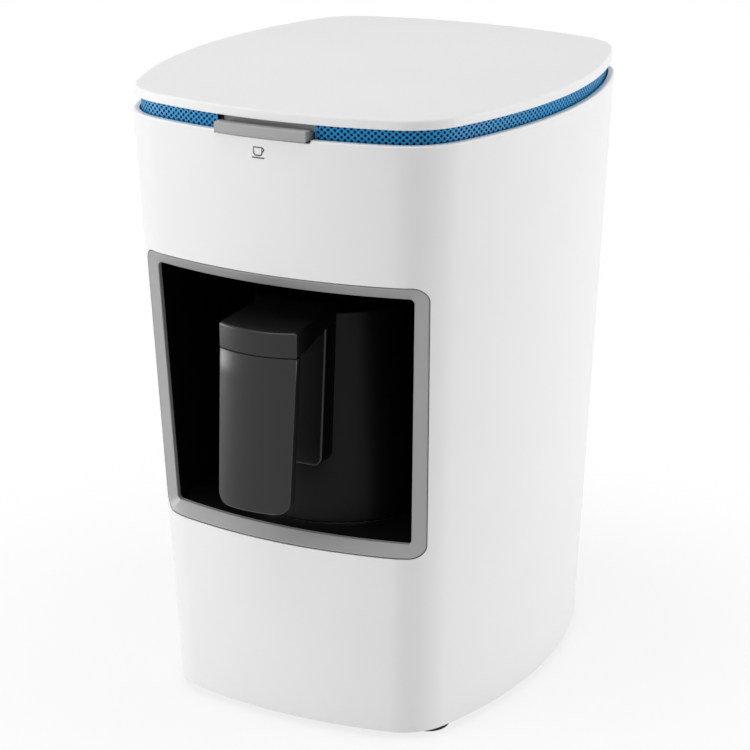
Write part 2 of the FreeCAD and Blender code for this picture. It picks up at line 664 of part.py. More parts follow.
def make_cavity_liner():
    body = new_body("cavity_liner")
    outside = sketch_on(body, "XZ_Plane", "-(bay_back + liner_wall)")
    wide = [
        ("-(bay_half_bottom + liner_wall)", LINER_UNDER), ("bay_half_bottom + liner_wall", LINER_UNDER),
        ("bay_half_top + liner_wall", LINER_OVER), ("-(bay_half_top + liner_wall)", LINER_OVER),
    ]
    rounded_polygon(outside, wide, "bay_corner + liner_wall")
    grow(body, "Pad", outside, "bay_back + liner_wall + top_depth / 2")
    inside = sketch_on(body, "XZ_Plane", "-bay_back")
    rounded_polygon(inside, BAY_CORNERS, "bay_corner")
    grow(body, "Pocket", inside, "top_depth", reverse=True)
    ends = []
    for height in (LINER_UNDER + " - cut_over", LINER_OVER + " + cut_over"):
        ends.append(sketch_on(body, "XY_Plane", height))
        before_front(ends[-1], height, "bezel_deep + fit_gap")
    loft(body, "SubtractiveLoft", *ends)
    drill(body, "XY_Plane", LINER_UNDER, [("0", "pot_y", "plate_radius + seal_width + fit_gap")],
          "liner_wall", reverse=True)
    drill(body, "XY_Plane", "bay_ceiling", [("0", "sensor_y", "window_radius + fit_gap")],
          "liner_wall", reverse=True)
    return body


def make_pillars():
    places = four("pillar_side", "pillar_front", "pillar_back")
    solid = [place + ("pillar_radius",) for place in places]
    bores = [place + ("screw_radius",) for place in places]
    upright("support_pillars", solid, BASE_TOP, LINER_UNDER + " - " + BASE_TOP, bores)
    upright("deck_pillars", solid, LINER_OVER, "deck_height - " + LINER_OVER, bores)
    screws("base_screws", places, "foot_height - head_high", "foot_height", "base_thick + pillar_screw")
    screws("deck_screws", places, DECK_TOP, DECK_TOP + " - pillar_screw", "pillar_screw")
    screws("lid_screws", four(BOSS_SIDE, BOSS_FRONT, BOSS_BACK), "deck_height - head_high",
           "deck_height", "deck_thick + lid_screw_deep")


# Heater

def make_heater():
    upright("hot_plate", [("0", "pot_y", "plate_radius")], PLATE_UNDER, "plate_thick")
    upright("plate_seal", [("0", "pot_y", "plate_radius + seal_width")], "bay_floor - seal_deep",
            "seal_deep", [("0", "pot_y", "plate_radius")])

    ring = doc.addObject("Part::Torus", "heater_ring")
    bind(ring, "Radius1", "coil_radius")
    bind(ring, "Radius2", "coil_tube")
    bind(ring, "Angle3", "coil_angle")
    bind(ring, "Placement.Base.y", "pot_y")
    bind(ring, "Placement.Base.z", PLATE_UNDER + " - coil_tube")
    parts = [ring]
    for angle in ("0", "coil_angle"):
        leg = doc.addObject("Part::Cylinder", "heater_leg")
        bind(leg, "Radius", "coil_tube")
        bind(leg, "Height", "coil_leg")
        bind(leg, "Placement.Base.x", "coil_radius * cos(%s * 1 deg)" % angle)
        bind(leg, "Placement.Base.y", "pot_y + coil_radius * sin(%s * 1 deg)" % angle)
        bind(leg, "Placement.Base.z", PLATE_UNDER + " - coil_tube - coil_leg")
        knuckle = doc.addObject("Part::Sphere", "heater_knuckle")
        bind(knuckle, "Radius", "coil_tube")
        bind(knuckle, "Placement.Base.x", "coil_radius * cos(%s * 1 deg)" % angle)
        bind(knuckle, "Placement.Base.y", "pot_y + coil_radius * sin(%s * 1 deg)" % angle)
        bind(knuckle, "Placement.Base.z", PLATE_UNDER + " - coil_tube")
        parts += [leg, knuckle]
    element = doc.addObject("Part::MultiFuse", "heating_element")
    element.Label = "heating_element"
    element.Shapes = parts
    bind(element, "Placement.Base.y", CENTRING)

    tray = new_body("heater_tray")
    profile = sketch_on(tray, "XZ_Plane", "-pot_y")
    low = LINER_UNDER + " - tray_deep"
    polygon(profile, [
        ("0", low), ("tray_radius", low), ("tray_radius", LINER_UNDER + " - tray_wall"),
        ("tray_radius + tray_flange", LINER_UNDER + " - tray_wall"),
        ("tray_radius + tray_flange", LINER_UNDER), ("tray_radius - tray_wall", LINER_UNDER),
        ("tray_radius - tray_wall", low + " + tray_wall"), ("0", low + " + tray_wall"),
    ])
    turn(tray, "Revolution", profile)
    holes = [("coil_radius * cos(%s * 1 deg)" % a, "pot_y + coil_radius * sin(%s * 1 deg)" % a,
              "coil_tube + leg_room") for a in ("0", "coil_angle")]
    drill(tray, "XY_Plane", low, holes, "tray_wall", reverse=True)

    upright("thermostat", [("0", "pot_y", "thermostat_radius")],
            PLATE_UNDER + " - thermostat_height", "thermostat_height")
    fuse = new_body("thermal_fuse")
    end = sketch_on(fuse, "XZ_Plane", "-pot_y - fuse_long / 2")
    circle(end, "-fuse_place", PLATE_UNDER + " - fuse_radius", "fuse_radius")
    grow(fuse, "Pad", end, "fuse_long")


# Electronics

def make_boards():
    block("power_board", "-board_half", "board_half", BOARD_FRONT, BOARD_BACK, BOARD_UNDER, "board_thick")
    spots = [(sign + "(board_half - standoff_margin)", y) for sign in ("-", "")
             for y in (BOARD_FRONT + " + standoff_margin", BOARD_BACK + " - standoff_margin")]
    upright("board_standoffs", [spot + ("standoff_radius",) for spot in spots], BASE_TOP, "board_lift")
    block("relay", "relay_in - board_half", "relay_in - board_half + relay_wide",
          BOARD_FRONT + " + relay_in", BOARD_FRONT + " + relay_in + relay_deep", BOARD_TOP, "relay_high")
    block("transformer", "board_half - transformer_in - transformer_wide", "board_half - transformer_in",
          BOARD_FRONT + " + parts_margin", BOARD_FRONT + " + parts_margin + transformer_deep",
          BOARD_TOP, "transformer_high")
    upright("capacitor", [("-capacitor_side", BOARD_FRONT + " + capacitor_in", "capacitor_radius")],
            BOARD_TOP, "capacitor_high")
    block("terminal_block", "-terminal_wide / 2", "terminal_wide / 2",
          BOARD_BACK + " - terminal_in - terminal_deep", BOARD_BACK + " - terminal_in",
          BOARD_TOP, "terminal_high")

    low, high = (CONTROL_Y + sign + "control_deep / 2" for sign in (" - ", " + "))
    block("control_board", "-control_half", "control_half", low, high, CONTROL_UNDER, "board_thick")
    spots = [(sign + "(control_half - standoff_margin)", y) for sign in ("-", "")
             for y in (low + " + standoff_margin", high + " - standoff_margin")]
    upright("control_standoffs", [spot + ("standoff_radius",) for spot in spots], DECK_TOP, "control_lift")
    block("controller_chip", "-chip_side / 2", "chip_side / 2", CONTROL_Y + " - chip_side / 2",
          CONTROL_Y + " + chip_side / 2", CONTROL_TOP, "chip_high")
    upright("buzzer", [("control_half - buzzer_in", CONTROL_Y, "buzzer_radius")],
            CONTROL_TOP, "buzzer_high")
    leds = [(x, low + " + led_in", "led_radius") for x in ("-led_side", "-(led_side + led_pitch)")]
    upright("status_leds", leds, CONTROL_TOP, "led_high")


def make_sensor():
    places = [("0", "sensor_y", "window_radius")]
    upright("sensor_window", places, "bay_ceiling", "window_thick")
    body = upright("sensor_housing", [("0", "sensor_y", "window_radius + sensor_lip")],
                   LINER_OVER, "sensor_high")
    drill(body, "XY_Plane", LINER_OVER, [("0", "sensor_y", "window_radius - sensor_wall")],
          "sensor_high - sensor_wall", reverse=True)


# Start button

def make_start_button():
    body = new_body("start_button")
    bar = sketch_on(body, "XY_Plane", "button_low")
    middle_y = "(front_bow - %s)" % BUTTON_FRONT
    corner_y = "(front_bow - %s - sqrt(front_bow ^ 2 - button_half ^ 2))" % BUTTON_FRONT
    bowed_plan(bar, "button_half", "button_half", middle_y, corner_y, "-" + BAR_BACK, "front_bow")
    grow(body, "Pad", bar, "button_high - button_low")
    ledge = sketch_on(body, "XY_Plane", "button_low")
    box_outline(ledge, "-button_half", "button_half", "-" + BAR_BACK, "-" + WEB_BACK)
    grow(body, "Pad", ledge, "button_high - button_low - ledge_drop")
    web = sketch_on(body, "XY_Plane", "button_low")
    box_outline(web, "-button_half", "button_half", "-(%s + web_thick)" % WEB_BACK, "-" + WEB_BACK)
    grow(body, "Pad", web, LID_UNDER + " - fit_gap - button_low")
    top, back = value("button_high"), value("-" + BAR_BACK)
    round_edges(body, "button_edge",
                lambda edge: lies_at(edge, Z, top) and edge.BoundBox.YMin < back - NEAR)
    stem = sketch_on(body, "XY_Plane", "stem_low")
    box_outline(stem, "-stem_half", "stem_half", "-" + WEB_BACK, "-(%s + plunger_reach)" % SWITCH_FRONT)
    grow(body, "Pad", stem, "stem_high - stem_low")

    plunger = new_body("switch_plunger")
    end = sketch_on(plunger, "XZ_Plane", SWITCH_FRONT + " + plunger_reach")
    circle(end, "0", STEM_MIDDLE, "plunger_radius")
    grow(plunger, "Pad", end, "plunger_reach + plunger_in", reverse=True)


def make_button_guide():
    body = new_body("button_guide")
    inner = "(button_half + fit_gap)"
    outer = "(button_half + fit_gap + guide_wall)"
    front = "-(%s + web_thick)" % WEB_BACK
    runner = sketch_on(body, "XY_Plane", DECK_TOP)
    box_outline(runner, "-" + outer, outer, front, "-" + GUIDE_BACK)
    grow(body, "Pad", runner, "button_low - fit_gap - " + DECK_TOP)
    wall = sketch_on(body, "XY_Plane", DECK_TOP)
    box_outline(wall, "-" + outer, outer, "-" + GUIDE_FRONT, "-" + GUIDE_BACK)
    grow(body, "Pad", wall, "button_high - " + DECK_TOP)
    for low, high in (("-" + outer, "-" + inner), (inner, outer)):
        cheek = sketch_on(body, "XY_Plane", DECK_TOP)
        box_outline(cheek, low, high, front, "-" + GUIDE_FRONT)
        grow(body, "Pad", cheek, "button_high - " + DECK_TOP)
    slot = sketch_on(body, "XZ_Plane")
    box_outline(slot, "-(stem_half + fit_gap)", "stem_half + fit_gap",
                "button_low - fit_gap", "button_high + cut_over")
    grow(body, "Pocket", slot, "top_depth", reverse=True)

    switch = block("start_switch", "-switch_half", "switch_half", "-" + SWITCH_FRONT,
                   "-(%s - switch_deep)" % SWITCH_FRONT, DECK_TOP, "button_high - " + DECK_TOP)
    deep = "plunger_in + button_travel + fit_gap"
    drill(switch, "XZ_Plane", "%s - (%s)" % (SWITCH_FRONT, deep),
          [("0", STEM_MIDDLE, "plunger_radius + fit_gap")], deep, reverse=True)


def make_button_springs():
    """Two coil springs between the button's web and the wall of its guide."""
    start = value("-%s + spring_wire + spring_gap" % WEB_BACK)
    end = value("-%s - spring_wire - spring_gap" % GUIDE_FRONT)
    radius, wire = value("spring_radius"), value("spring_wire")
    height = value(STEM_MIDDLE)
    pitch = (end - start) / value("spring_turns")
    coils = []
    for side in SIDES:
        path = Part.makeHelix(pitch, end - start, radius)
        section = Part.Wire(Part.makeCircle(wire, Vector(radius, 0, 0), Y))
        coil = Part.Wire(path.Edges).makePipeShell([section], True, True)
        coil.rotate(Vector(0, 0, 0), X, -90)
        coil.translate(Vector(side * value("spring_side"), start, height))
        coils.append(coil)
    piece = doc.addObject("Part::Feature", "button_springs")
    piece.Label = "button_springs"
    piece.Shape = Part.makeCompound(coils)
    bind(piece, "Placement.Base.y", CENTRING)


# Pot and its handle

STUDS = [(sign + "stud_spread", "-" + STUD_Y, "stud_radius") for sign in ("-", "")]


def cone_radius(height, grow_by="0"):
    """The pot's outer radius at a height."""
    share = "(%s - %s) / (%s - %s)" % (height, POT_BOTTOM, POT_RIM, POT_BOTTOM)
    return "(pot_base_radius - (pot_base_radius - pot_rim_radius) * %s + (%s))" % (share, grow_by)


def cut_round_pot(body):
    """Takes the pot's own space out of a piece that is seated on its wall."""
    sketch = sketch_on(body, "XZ_Plane", "-pot_y")
    above = HOOD_BACK_TOP + " + cut_over"
    polygon(sketch, [
        ("0", POT_BOTTOM), (cone_radius(POT_BOTTOM), POT_BOTTOM),
        ("pot_rim_radius", POT_RIM), ("pot_rim_radius", above), ("0", above),
    ])
    turn(body, "Groove", sketch)


def make_pot():
    body = new_body("pot_vessel")
    profile = sketch_on(body, "XZ_Plane", "-pot_y")
    floor = "(%s + pot_wall)" % POT_FLOOR
    polygon(profile, [
        ("0", POT_FLOOR), (cone_radius(POT_FLOOR), POT_FLOOR), ("pot_rim_radius", POT_RIM),
        ("pot_rim_radius - pot_wall", POT_RIM), (cone_radius(floor, "-pot_wall"), floor), ("0", floor),
    ])
    turn(body, "Revolution", profile)
    rivets = [("0", height, "rivet_radius") for height in RIVET_HEIGHTS]
    drill(body, "XZ_Plane", "-pot_y", rivets, "pot_base_radius", reverse=True)
    upright("pot_base_disc", [("0", "pot_y", "pot_base_radius - pot_disc_inset")], POT_BOTTOM,
            "pot_disc_thick")


def make_handle_mount():
    body = new_body("handle_mount")
    side = sketch_on(body, "YZ_Plane", "-mount_width / 2")
    polygon(side, [
        ("pot_y", MOUNT_BOTTOM), ("-" + MOUNT_FOOT_Y, MOUNT_BOTTOM),
        ("-" + MOUNT_TOP_Y, MOUNT_TOP), ("pot_y", MOUNT_TOP),
    ])
    grow(body, "Pad", side, "mount_width")
    low, top = value(MOUNT_BOTTOM), value(MOUNT_TOP)
    half = value("mount_width") / 2
    round_edges(body, "mount_corner", lambda edge: runs_along(edge, Y) and lies_at(edge, Z, low)
                and abs(abs(edge.BoundBox.XMin) - half) < NEAR)
    face = value(MOUNT_TOP_Y) - NEAR
    round_edges(body, "handle_edge", lambda edge: all(p.y < -face for p in ends_of(edge))
                and not lies_at(edge, Z, top))
    cut_round_pot(body)
    rivets = [("0", height, "rivet_radius") for height in RIVET_HEIGHTS]
    drill(body, "XZ_Plane", "-pot_y", rivets, "mount_top_reach + rivet_deep - pot_wall", reverse=True)
    return body


def handle_plan(sketch, reach, half_far, far_y):
    """The handle's plan: its bowed front at a reach, and its straight far side."""
    middle_y = "(handle_bow - %s)" % reach
    bowed_plan(sketch, "handle_width / 2", half_far, middle_y, "(%s - %s)" % (middle_y, HANDLE_SIDE), far_y,
               "handle_bow")


def make_handle_hood():
    body = new_body("handle_hood")
    plan = sketch_on(body, "XY_Plane", HOOD_SEAM)
    handle_plan(plan, "handle_reach", "hood_back_width / 2", "pot_y")
    grow(body, "Pad", plan, "%s + cut_over - %s" % (HOOD_BACK_TOP, HOOD_SEAM))
    below = HOOD_SEAM + " - cut_over"
    under = sketch_on(body, "YZ_Plane", "-handle_width")
    polygon(under, [
        ("-" + GRIP_BACK, below), ("-" + GRIP_BACK, HOOD_SEAM), ("-" + MOUNT_TOP_Y, HOOD_UNDER),
        ("0", HOOD_UNDER), ("0", below),
    ])
    grow(body, "Pocket", under, "2 * handle_width", reverse=True)
    slope = "((hood_rise - hood_front_rise) / (handle_reach + pot_y - pot_rim_radius))"
    above = HOOD_BACK_TOP + " + 2 * cut_over"
    over = sketch_on(body, "YZ_Plane", "-handle_width")
    polygon(over, [
        ("-handle_reach - cut_over", "%s - cut_over * %s" % (HOOD_FRONT_TOP, slope)),
        ("0", "%s + handle_reach * %s" % (HOOD_FRONT_TOP, slope)),
        ("0", above), ("-handle_reach - cut_over", above),
    ])
    grow(body, "Pocket", over, "2 * handle_width", reverse=True)
    cut_round_pot(body)
    front_top, back = value(HOOD_FRONT_TOP), value("-" + GRIP_BACK)

    def round_the_top(edge):
        ends = ends_of(edge)
        return sum(p.z for p in ends) / len(ends) > front_top - NEAR and min(p.y for p in ends) < back

    round_edges(body, "handle_edge", round_the_top)
    drill(body, "XY_Plane", HOOD_SEAM, STUDS, "stud_deep", reverse=True)
    return body


def make_handle_grip():
    """The grip is where its front view and its plan, which leans out below, meet."""
    plan = new_body("grip_plan")
    ends = []
    for height, reach in ((GRIP_BOTTOM, "(handle_reach + handle_lean)"), (GRIP_TOP, "handle_reach")):
        ends.append(sketch_on(plan, "XY_Plane", height))
        handle_plan(ends[-1], reach, "handle_width / 2", "grip_deep - " + reach)
    loft(plan, "AdditiveLoft", *ends)
    drill(plan, "XY_Plane", GRIP_TOP, STUDS, "stud_deep")

    view = new_body("grip_view")
    outline = sketch_on(view, "XZ_Plane")
    over = "2 * grip_corner"
    flare = "(handle_width - grip_bottom_width) / 2 * (1 + %s / (%s - %s))" % (over, GRIP_TOP, GRIP_BOTTOM)
    half_high = "(grip_bottom_width / 2 + %s)" % flare
    rounded_polygon(outline, [
        ("-grip_bottom_width / 2", GRIP_BOTTOM), ("grip_bottom_width / 2", GRIP_BOTTOM),
        (half_high, GRIP_TOP + " + " + over), ("-" + half_high, GRIP_TOP + " + " + over),
    ], "grip_corner")
    grow(view, "Pad", outline, "handle_reach + handle_lean + cut_over")
    grip = doc.addObject("Part::Common", "handle_grip")
    grip.Label = "handle_grip"
    grip.Base, grip.Tool = plan, view
    doc.recompute()


def make_handle_fixings():
    upright("handle_studs", STUDS, HOOD_SEAM + " - stud_deep", "2 * stud_deep")
    rivets = new_body("mount_rivets")
    ends = sketch_on(rivets, "XZ_Plane", "pot_rim_radius - pot_y - pot_wall")
    for height in RIVET_HEIGHTS:
        circle(ends, "0", height, "rivet_radius")
    grow(rivets, "Pad", ends, "mount_top_reach + rivet_deep - pot_rim_radius")


# Cord inlet and wiring

def make_cord_inlet():
    body = new_body("cord_gland")
    wall = back_at("gland_height")
    lean = "gland_flange * (top_depth - bottom_depth) / shell_height"
    outside = "(%s + fit_gap + %s)" % (wall, lean)
    inside = "(%s - shell_wall - fit_gap - %s)" % (wall, lean)
    for low, length, radius in (
        (outside + " + gland_flange_thick", "gland_flange_thick", "gland_flange"),
        (inside, "gland_flange_thick", "gland_flange"),
        (outside, "%s - %s + gland_flange_thick" % (outside, inside), "gland_radius"),
    ):
        sketch = sketch_on(body, "XZ_Plane", "-(%s)" % low)
        circle(sketch, "0", "gland_height", radius)
        grow(body, "Pad", sketch, length)
    drill(body, "XZ_Plane", "0", [("0", "gland_height", "gland_bore")], "top_depth")

    clamp = block("cord_clamp", "-clamp_wide / 2", "clamp_wide / 2", CLAMP_Y + " - clamp_deep / 2",
                  CLAMP_Y + " + clamp_deep / 2", BASE_TOP, "gland_height + clamp_rise - " + BASE_TOP)
    drill(clamp, "XZ_Plane", "0", [("0", "gland_height", "gland_bore")], "top_depth")
    holes = [(sign + "(clamp_wide / 2 - screw_head)", CLAMP_Y) for sign in ("-", "")]
    drill(clamp, "XY_Plane", "gland_height + clamp_rise", [hole + ("screw_radius",) for hole in holes],
          "lid_screw_deep")
    screws("clamp_screws", holes, "gland_height + clamp_rise",
           "gland_height + clamp_rise - lid_screw_deep", "lid_screw_deep")


def tube(label, routes, radius, bend):
    """Wires along straight runs joined by round bends."""
    solids = []
    for route in routes:
        points = [Vector(*(value(place) for place in point)) for point in route]
        edges = []
        start = points[0]
        for last, corner, after in zip(points, points[1:], points[2:]):
            back, ahead = (last - corner).normalize(), (after - corner).normalize()
            half = back.getAngle(ahead) / 2
            reach = value(bend) / math.tan(half)
            middle = corner + (back + ahead).normalize() * (value(bend) / math.sin(half))
            enter, leave = corner + back * reach, corner + ahead * reach
            halfway = middle + (corner - middle).normalize() * value(bend)
            edges += [Part.LineSegment(start, enter).toShape(), Part.Arc(enter, halfway, leave).toShape()]
            start = leave
        edges.append(Part.LineSegment(start, points[-1]).toShape())
        path = Part.Wire(edges)
        section = Part.Wire(Part.makeCircle(value(radius), points[0], points[1] - points[0]))
        solids.append(path.makePipeShell([section], True, True))
    piece = doc.addObject("Part::Feature", label)
    piece.Label = label
    piece.Shape = Part.makeCompound(solids) if len(solids) > 1 else solids[0]
    bind(piece, "Placement.Base.y", CENTRING)


def make_wiring():
    """Two leads from the heater's legs to the power board, and one bundle up to the control board."""
    leg_foot = PLATE_UNDER + " - coil_tube - coil_leg"
    lead_end = BOARD_FRONT + " + standoff_margin"
    leads = []
    for angle, end_x, low in (("0", "lead_far", "lead_low"), ("coil_angle", "lead_near", "lead_high")):
        x = "coil_radius * cos(%s * 1 deg)" % angle
        y = "pot_y + coil_radius * sin(%s * 1 deg)" % angle
        leads.append([(x, y, leg_foot), (x, y, low), (end_x, lead_end, low), (end_x, lead_end, BOARD_TOP)])
    tube("heater_leads", leads, "lead_radius", "lead_bend")
    over = DECK_TOP + " + harness_bend + fit_gap"
    tube("wire_harness", [[
        ("0", HARNESS_Y, BOARD_TOP + " + terminal_high"), ("0", HARNESS_Y, over),
        ("0", CONTROL_Y + " + control_deep / 2 + fit_gap", over),
    ]], "harness_radius", "harness_bend")


MAKERS = (
    make_outer_shell, make_lid, make_mesh_ring, make_top_deck, make_base_plate, make_feet,
    make_opening_bezel, make_cavity_liner, make_pillars, make_heater, make_boards, make_sensor,
    make_start_button, make_button_guide, make_button_springs, make_pot, make_handle_mount,
    make_handle_hood, make_handle_grip, make_handle_fixings, make_cord_inlet, make_wiring,
)
for make in MAKERS:
    make()
doc.recompute()

for thing in doc.Objects:
    if {"Invalid", "Error"} & set(thing.State):
        raise RuntimeError("%s failed: %s" % (thing.Name, thing.State))

BUILT_UP = ("PartDesign::Body", "Part::Feature", "Part::MultiFuse", "Part::Common")
pieces = [thing for thing in doc.Objects if thing.TypeId in BUILT_UP and not thing.InList]
os.makedirs("parts", exist_ok=True)
for piece in pieces:
    if piece.Shape.isNull() or not piece.Shape.isValid():
        raise RuntimeError("%s has no valid shape" % piece.Label)
for piece in pieces:
    piece.Shape.exportStep("parts/%s.step" % piece.Label)
    print("%-18s %2d solid(s) %12.1f mm3" % (piece.Label, len(piece.Shape.Solids), piece.Shape.Volume))
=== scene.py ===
import json
import math

import bmesh
import bpy
from mathutils import Matrix, Vector


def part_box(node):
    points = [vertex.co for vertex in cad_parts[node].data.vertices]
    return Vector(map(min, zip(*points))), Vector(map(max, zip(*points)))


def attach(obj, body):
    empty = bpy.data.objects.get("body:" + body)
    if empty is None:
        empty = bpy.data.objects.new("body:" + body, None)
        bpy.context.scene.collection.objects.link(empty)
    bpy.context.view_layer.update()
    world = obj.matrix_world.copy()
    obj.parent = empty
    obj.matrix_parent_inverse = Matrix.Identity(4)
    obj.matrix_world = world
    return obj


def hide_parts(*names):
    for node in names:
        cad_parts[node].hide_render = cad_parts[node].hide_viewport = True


# Looks of an electric turkish coffee maker: white tapered housing with a black heated
# bay, a black pot with its handle, a blue perforated ring and a grey start button.
# Metres, in the same frame as the CAD: the front looks along -Y.

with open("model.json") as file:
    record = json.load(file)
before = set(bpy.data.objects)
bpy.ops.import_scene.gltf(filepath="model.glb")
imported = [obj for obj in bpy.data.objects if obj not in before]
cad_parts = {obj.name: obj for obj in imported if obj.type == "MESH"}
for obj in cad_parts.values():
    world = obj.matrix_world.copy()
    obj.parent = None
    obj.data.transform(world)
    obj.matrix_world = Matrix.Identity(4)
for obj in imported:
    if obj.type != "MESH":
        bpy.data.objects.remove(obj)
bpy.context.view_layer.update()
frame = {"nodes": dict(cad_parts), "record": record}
MM = 0.001

# Housing: its outline is four shallow arcs and four round corners at every height

SHELL_LOW, SHELL_TOP = (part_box("outer_shell")[i][2] for i in (0, 1))
LID_LOW, LID_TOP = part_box("mesh_ring")[1][2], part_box("lid")[1][2]
LID_INSET = 1.0 * MM
LID_SIZE = [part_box("lid")[1][i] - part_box("lid")[0][i] for i in (0, 1)]
MIDDLE_Y = (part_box("lid")[0][1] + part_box("lid")[1][1]) / 2
TOP_WIDTH, TOP_DEPTH = (size + 2 * LID_INSET for size in LID_SIZE)
TOP_CORNER = 30.0 * MM
BOTTOM_WIDTH, BOTTOM_DEPTH, BOTTOM_CORNER = 149.5 * MM, 175.2 * MM, 23.5 * MM
BOTTOM_SHIFT = 1.1 * MM
FRONT_BOW, SIDE_BOW = 205.0 * MM, 198.0 * MM
SHELL_WALL, SHELL_EDGE, LID_EDGE, LID_FOOT_EDGE = 2.5 * MM, 0.8 * MM, 1.0 * MM, 0.3 * MM
FIT_GAP = 0.35 * MM

# Bay and the frame round it: half widths at the foot and the head, floor, ceiling, corner

BAY = {"low": 87.6 * MM, "high": 191.8 * MM, "half_low": 55.0 * MM, "half_high": 58.5 * MM,
       "corner": 2.0 * MM}
BEZEL = {"low": 82.5 * MM, "high": 196.9 * MM, "half_low": 60.8 * MM, "half_high": 64.4 * MM,
         "corner": 5.6 * MM}
# The gap recess and lap set a thin black strip of painted shade in the gap round the frame.
BEZEL_RECESS, BEZEL_DEEP, BEZEL_EDGE, SHADE_STRIP_RECESS = 3.8 * MM, 6.0 * MM, 0.5 * MM, 0.6 * MM
BEZEL_ROUND, BEZEL_LIP, BEZEL_LIP_DEEP, SHADE_STRIP_LAP = 0.15 * MM, 0.25 * MM, 0.3 * MM, 0.1 * MM

# Ring with its holes, and a dark sheet of painted shade behind them

RING_INSET, RING_WALL, RING_SHADE_DEPTH = 3.3 * MM, 0.6 * MM, 1.0 * MM
RING_LOW = SHELL_TOP - 2.0 * MM
HOLE_PITCH, HOLE_ROW, HOLE_ROWS, HOLE_RADIUS = 2.7 * MM, 1.18 * MM, 5, 0.62 * MM
HOLE_HEAD = 0.8 * MM
RING_GAP = 21.6 * MM

# Button

BUTTON_LOW, BUTTON_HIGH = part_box("start_button")[0][2], 257.2 * MM
BUTTON_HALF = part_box("start_button")[1][0]
BUTTON_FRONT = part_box("start_button")[0][1]
BUTTON_DEEP, LEDGE_DEEP, LEDGE_DROP, WEB_THICK = 5.3 * MM, 3.6 * MM, 1.4 * MM, 1.5 * MM
BUTTON_BEVEL, BUTTON_FOOT = 0.5 * MM, 1.0 * MM
WEB_HIGH, LEDGE_EDGE, EDGE_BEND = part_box("start_button")[1][2], 0.2 * MM, 0.3

# Pot and handle

POT_Y = -37.5 * MM + MIDDLE_Y
POT_LOW, POT_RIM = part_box("pot_base_disc")[0][2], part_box("pot_vessel")[1][2]
POT_BASE_RADIUS, POT_RIM_RADIUS, POT_WALL = 41.0 * MM, 34.5 * MM, 1.4 * MM
POT_DISC, POT_DISC_INSET, POT_DISC_ROOM = 3.0 * MM, 1.0 * MM, 0.1 * MM
POT_EDGE, POT_FOOT, POT_MIDDLE = 0.7 * MM, 0.3 * MM, 2.0 * MM
WALL_ROWS, FOOT_STEPS, LIP_STEPS = 6, 5, 8
HANDLE_FRONT, HANDLE_LEAN = -107.5 * MM + MIDDLE_Y, 5.0 * MM
HANDLE_BOW, HANDLE_HALF = 42.5 * MM, 17.5 * MM
GRIP_LOW, GRIP_TOP = (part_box("handle_grip")[i][2] for i in (0, 1))
GRIP_HALF_LOW, GRIP_BACK, GRIP_CORNER = 16.3 * MM, -100.0 * MM + MIDDLE_Y, 5.5 * MM
HOOD_LOW, HOOD_UNDER = 167.5 * MM, 172.3 * MM
HOOD_FRONT_TOP, HOOD_BACK_TOP, HOOD_BACK_HALF = 177.5 * MM, 180.4 * MM, 15.75 * MM
MOUNT_HALF, MOUNT_CORNER = 15.75 * MM, 4.0 * MM
MOUNT_LOW, MOUNT_TOP = (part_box("handle_mount")[i][2] for i in (0, 1))
MOUNT_TOP_Y, MOUNT_LOW_Y = -76.8 * MM + MIDDLE_Y, -82.3 * MM + MIDDLE_Y
HANDLE_EDGE, EDGE_LIMIT, FOOT_EDGE = 0.9 * MM, 0.9, 0.7
SEAM_DROP, SEAM_INSET, HOOD_FOOT_EDGE = 0.4 * MM, 0.3 * MM, 0.25 * MM
HEAD_MARGIN, POT_ROOM, MOUNT_SUNK = 2.0 * MM, 0.3 * FIT_GAP, 0.2 * MM


def mix(one, two, share):
    return one + (two - one) * share


def quarter_turn(steps):
    """Angles from 0 to a right angle."""
    return [math.pi / 2 * s / steps for s in range(steps + 1)]


def shares(steps):
    """Even shares above 0, up to 1."""
    return [s / steps for s in range(1, steps + 1)]


# Mesh helpers

SMOOTH_ANGLE = 40


def mesh_piece(name, points, faces):
    mesh = bpy.data.meshes.new(name)
    mesh.from_pydata([tuple(p) for p in points], [], faces)
    mesh.validate()
    mesh.update()
    piece = bpy.data.objects.new(name, mesh)
    bpy.context.scene.collection.objects.link(piece)
    return piece


def skin(rows, closed=True, first_cap=False, last_cap=False):
    """Points and faces of a surface through rows with the same number of points each."""
    points = [p for row in rows for p in row]
    count = len(rows[0])
    reach = count if closed else count - 1
    faces = []
    for r in range(len(rows) - 1):
        for i in range(reach):
            j = (i + 1) % count
            faces.append((r * count + i, r * count + j, (r + 1) * count + j, (r + 1) * count + i))
    if first_cap:
        faces.append(tuple(reversed(range(count))))
    if last_cap:
        faces.append(tuple(range(len(points) - count, len(points))))
    return points, faces


def joined(*parts):
    """Several lists of points and faces as one."""
    points, faces = [], []
    for some_points, some_faces in parts:
        start = len(points)
        points += some_points
        faces += [tuple(i + start for i in face) for face in some_faces]
    return points, faces


def smooth_by_angle(piece, degrees):
    """Smooth faces, with edges sharper than the angle kept sharp."""
    mesh = piece.data
    mesh.shade_smooth()
    mesh.set_sharp_from_angle(angle=math.radians(degrees))


def finish_piece(piece, finish, body, slot, *nodes):
    piece.data.materials.clear()
    piece.data.materials.append(finish)
    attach(piece, body)
    if nodes:
        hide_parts(*nodes)


# Outlines

def arc_points(centre, radius, start, end, count):
    """Points on an arc with their outward directions, first end in, last end out."""
    if end < start:
        end += 2 * math.pi
    turned = []
    for i in range(count):
        angle = mix(start, end, i / count)
        across, ahead = math.cos(angle), math.sin(angle)
        turned.append((centre[0] + radius * across, centre[1] + radius * ahead, across, ahead))
    return turned


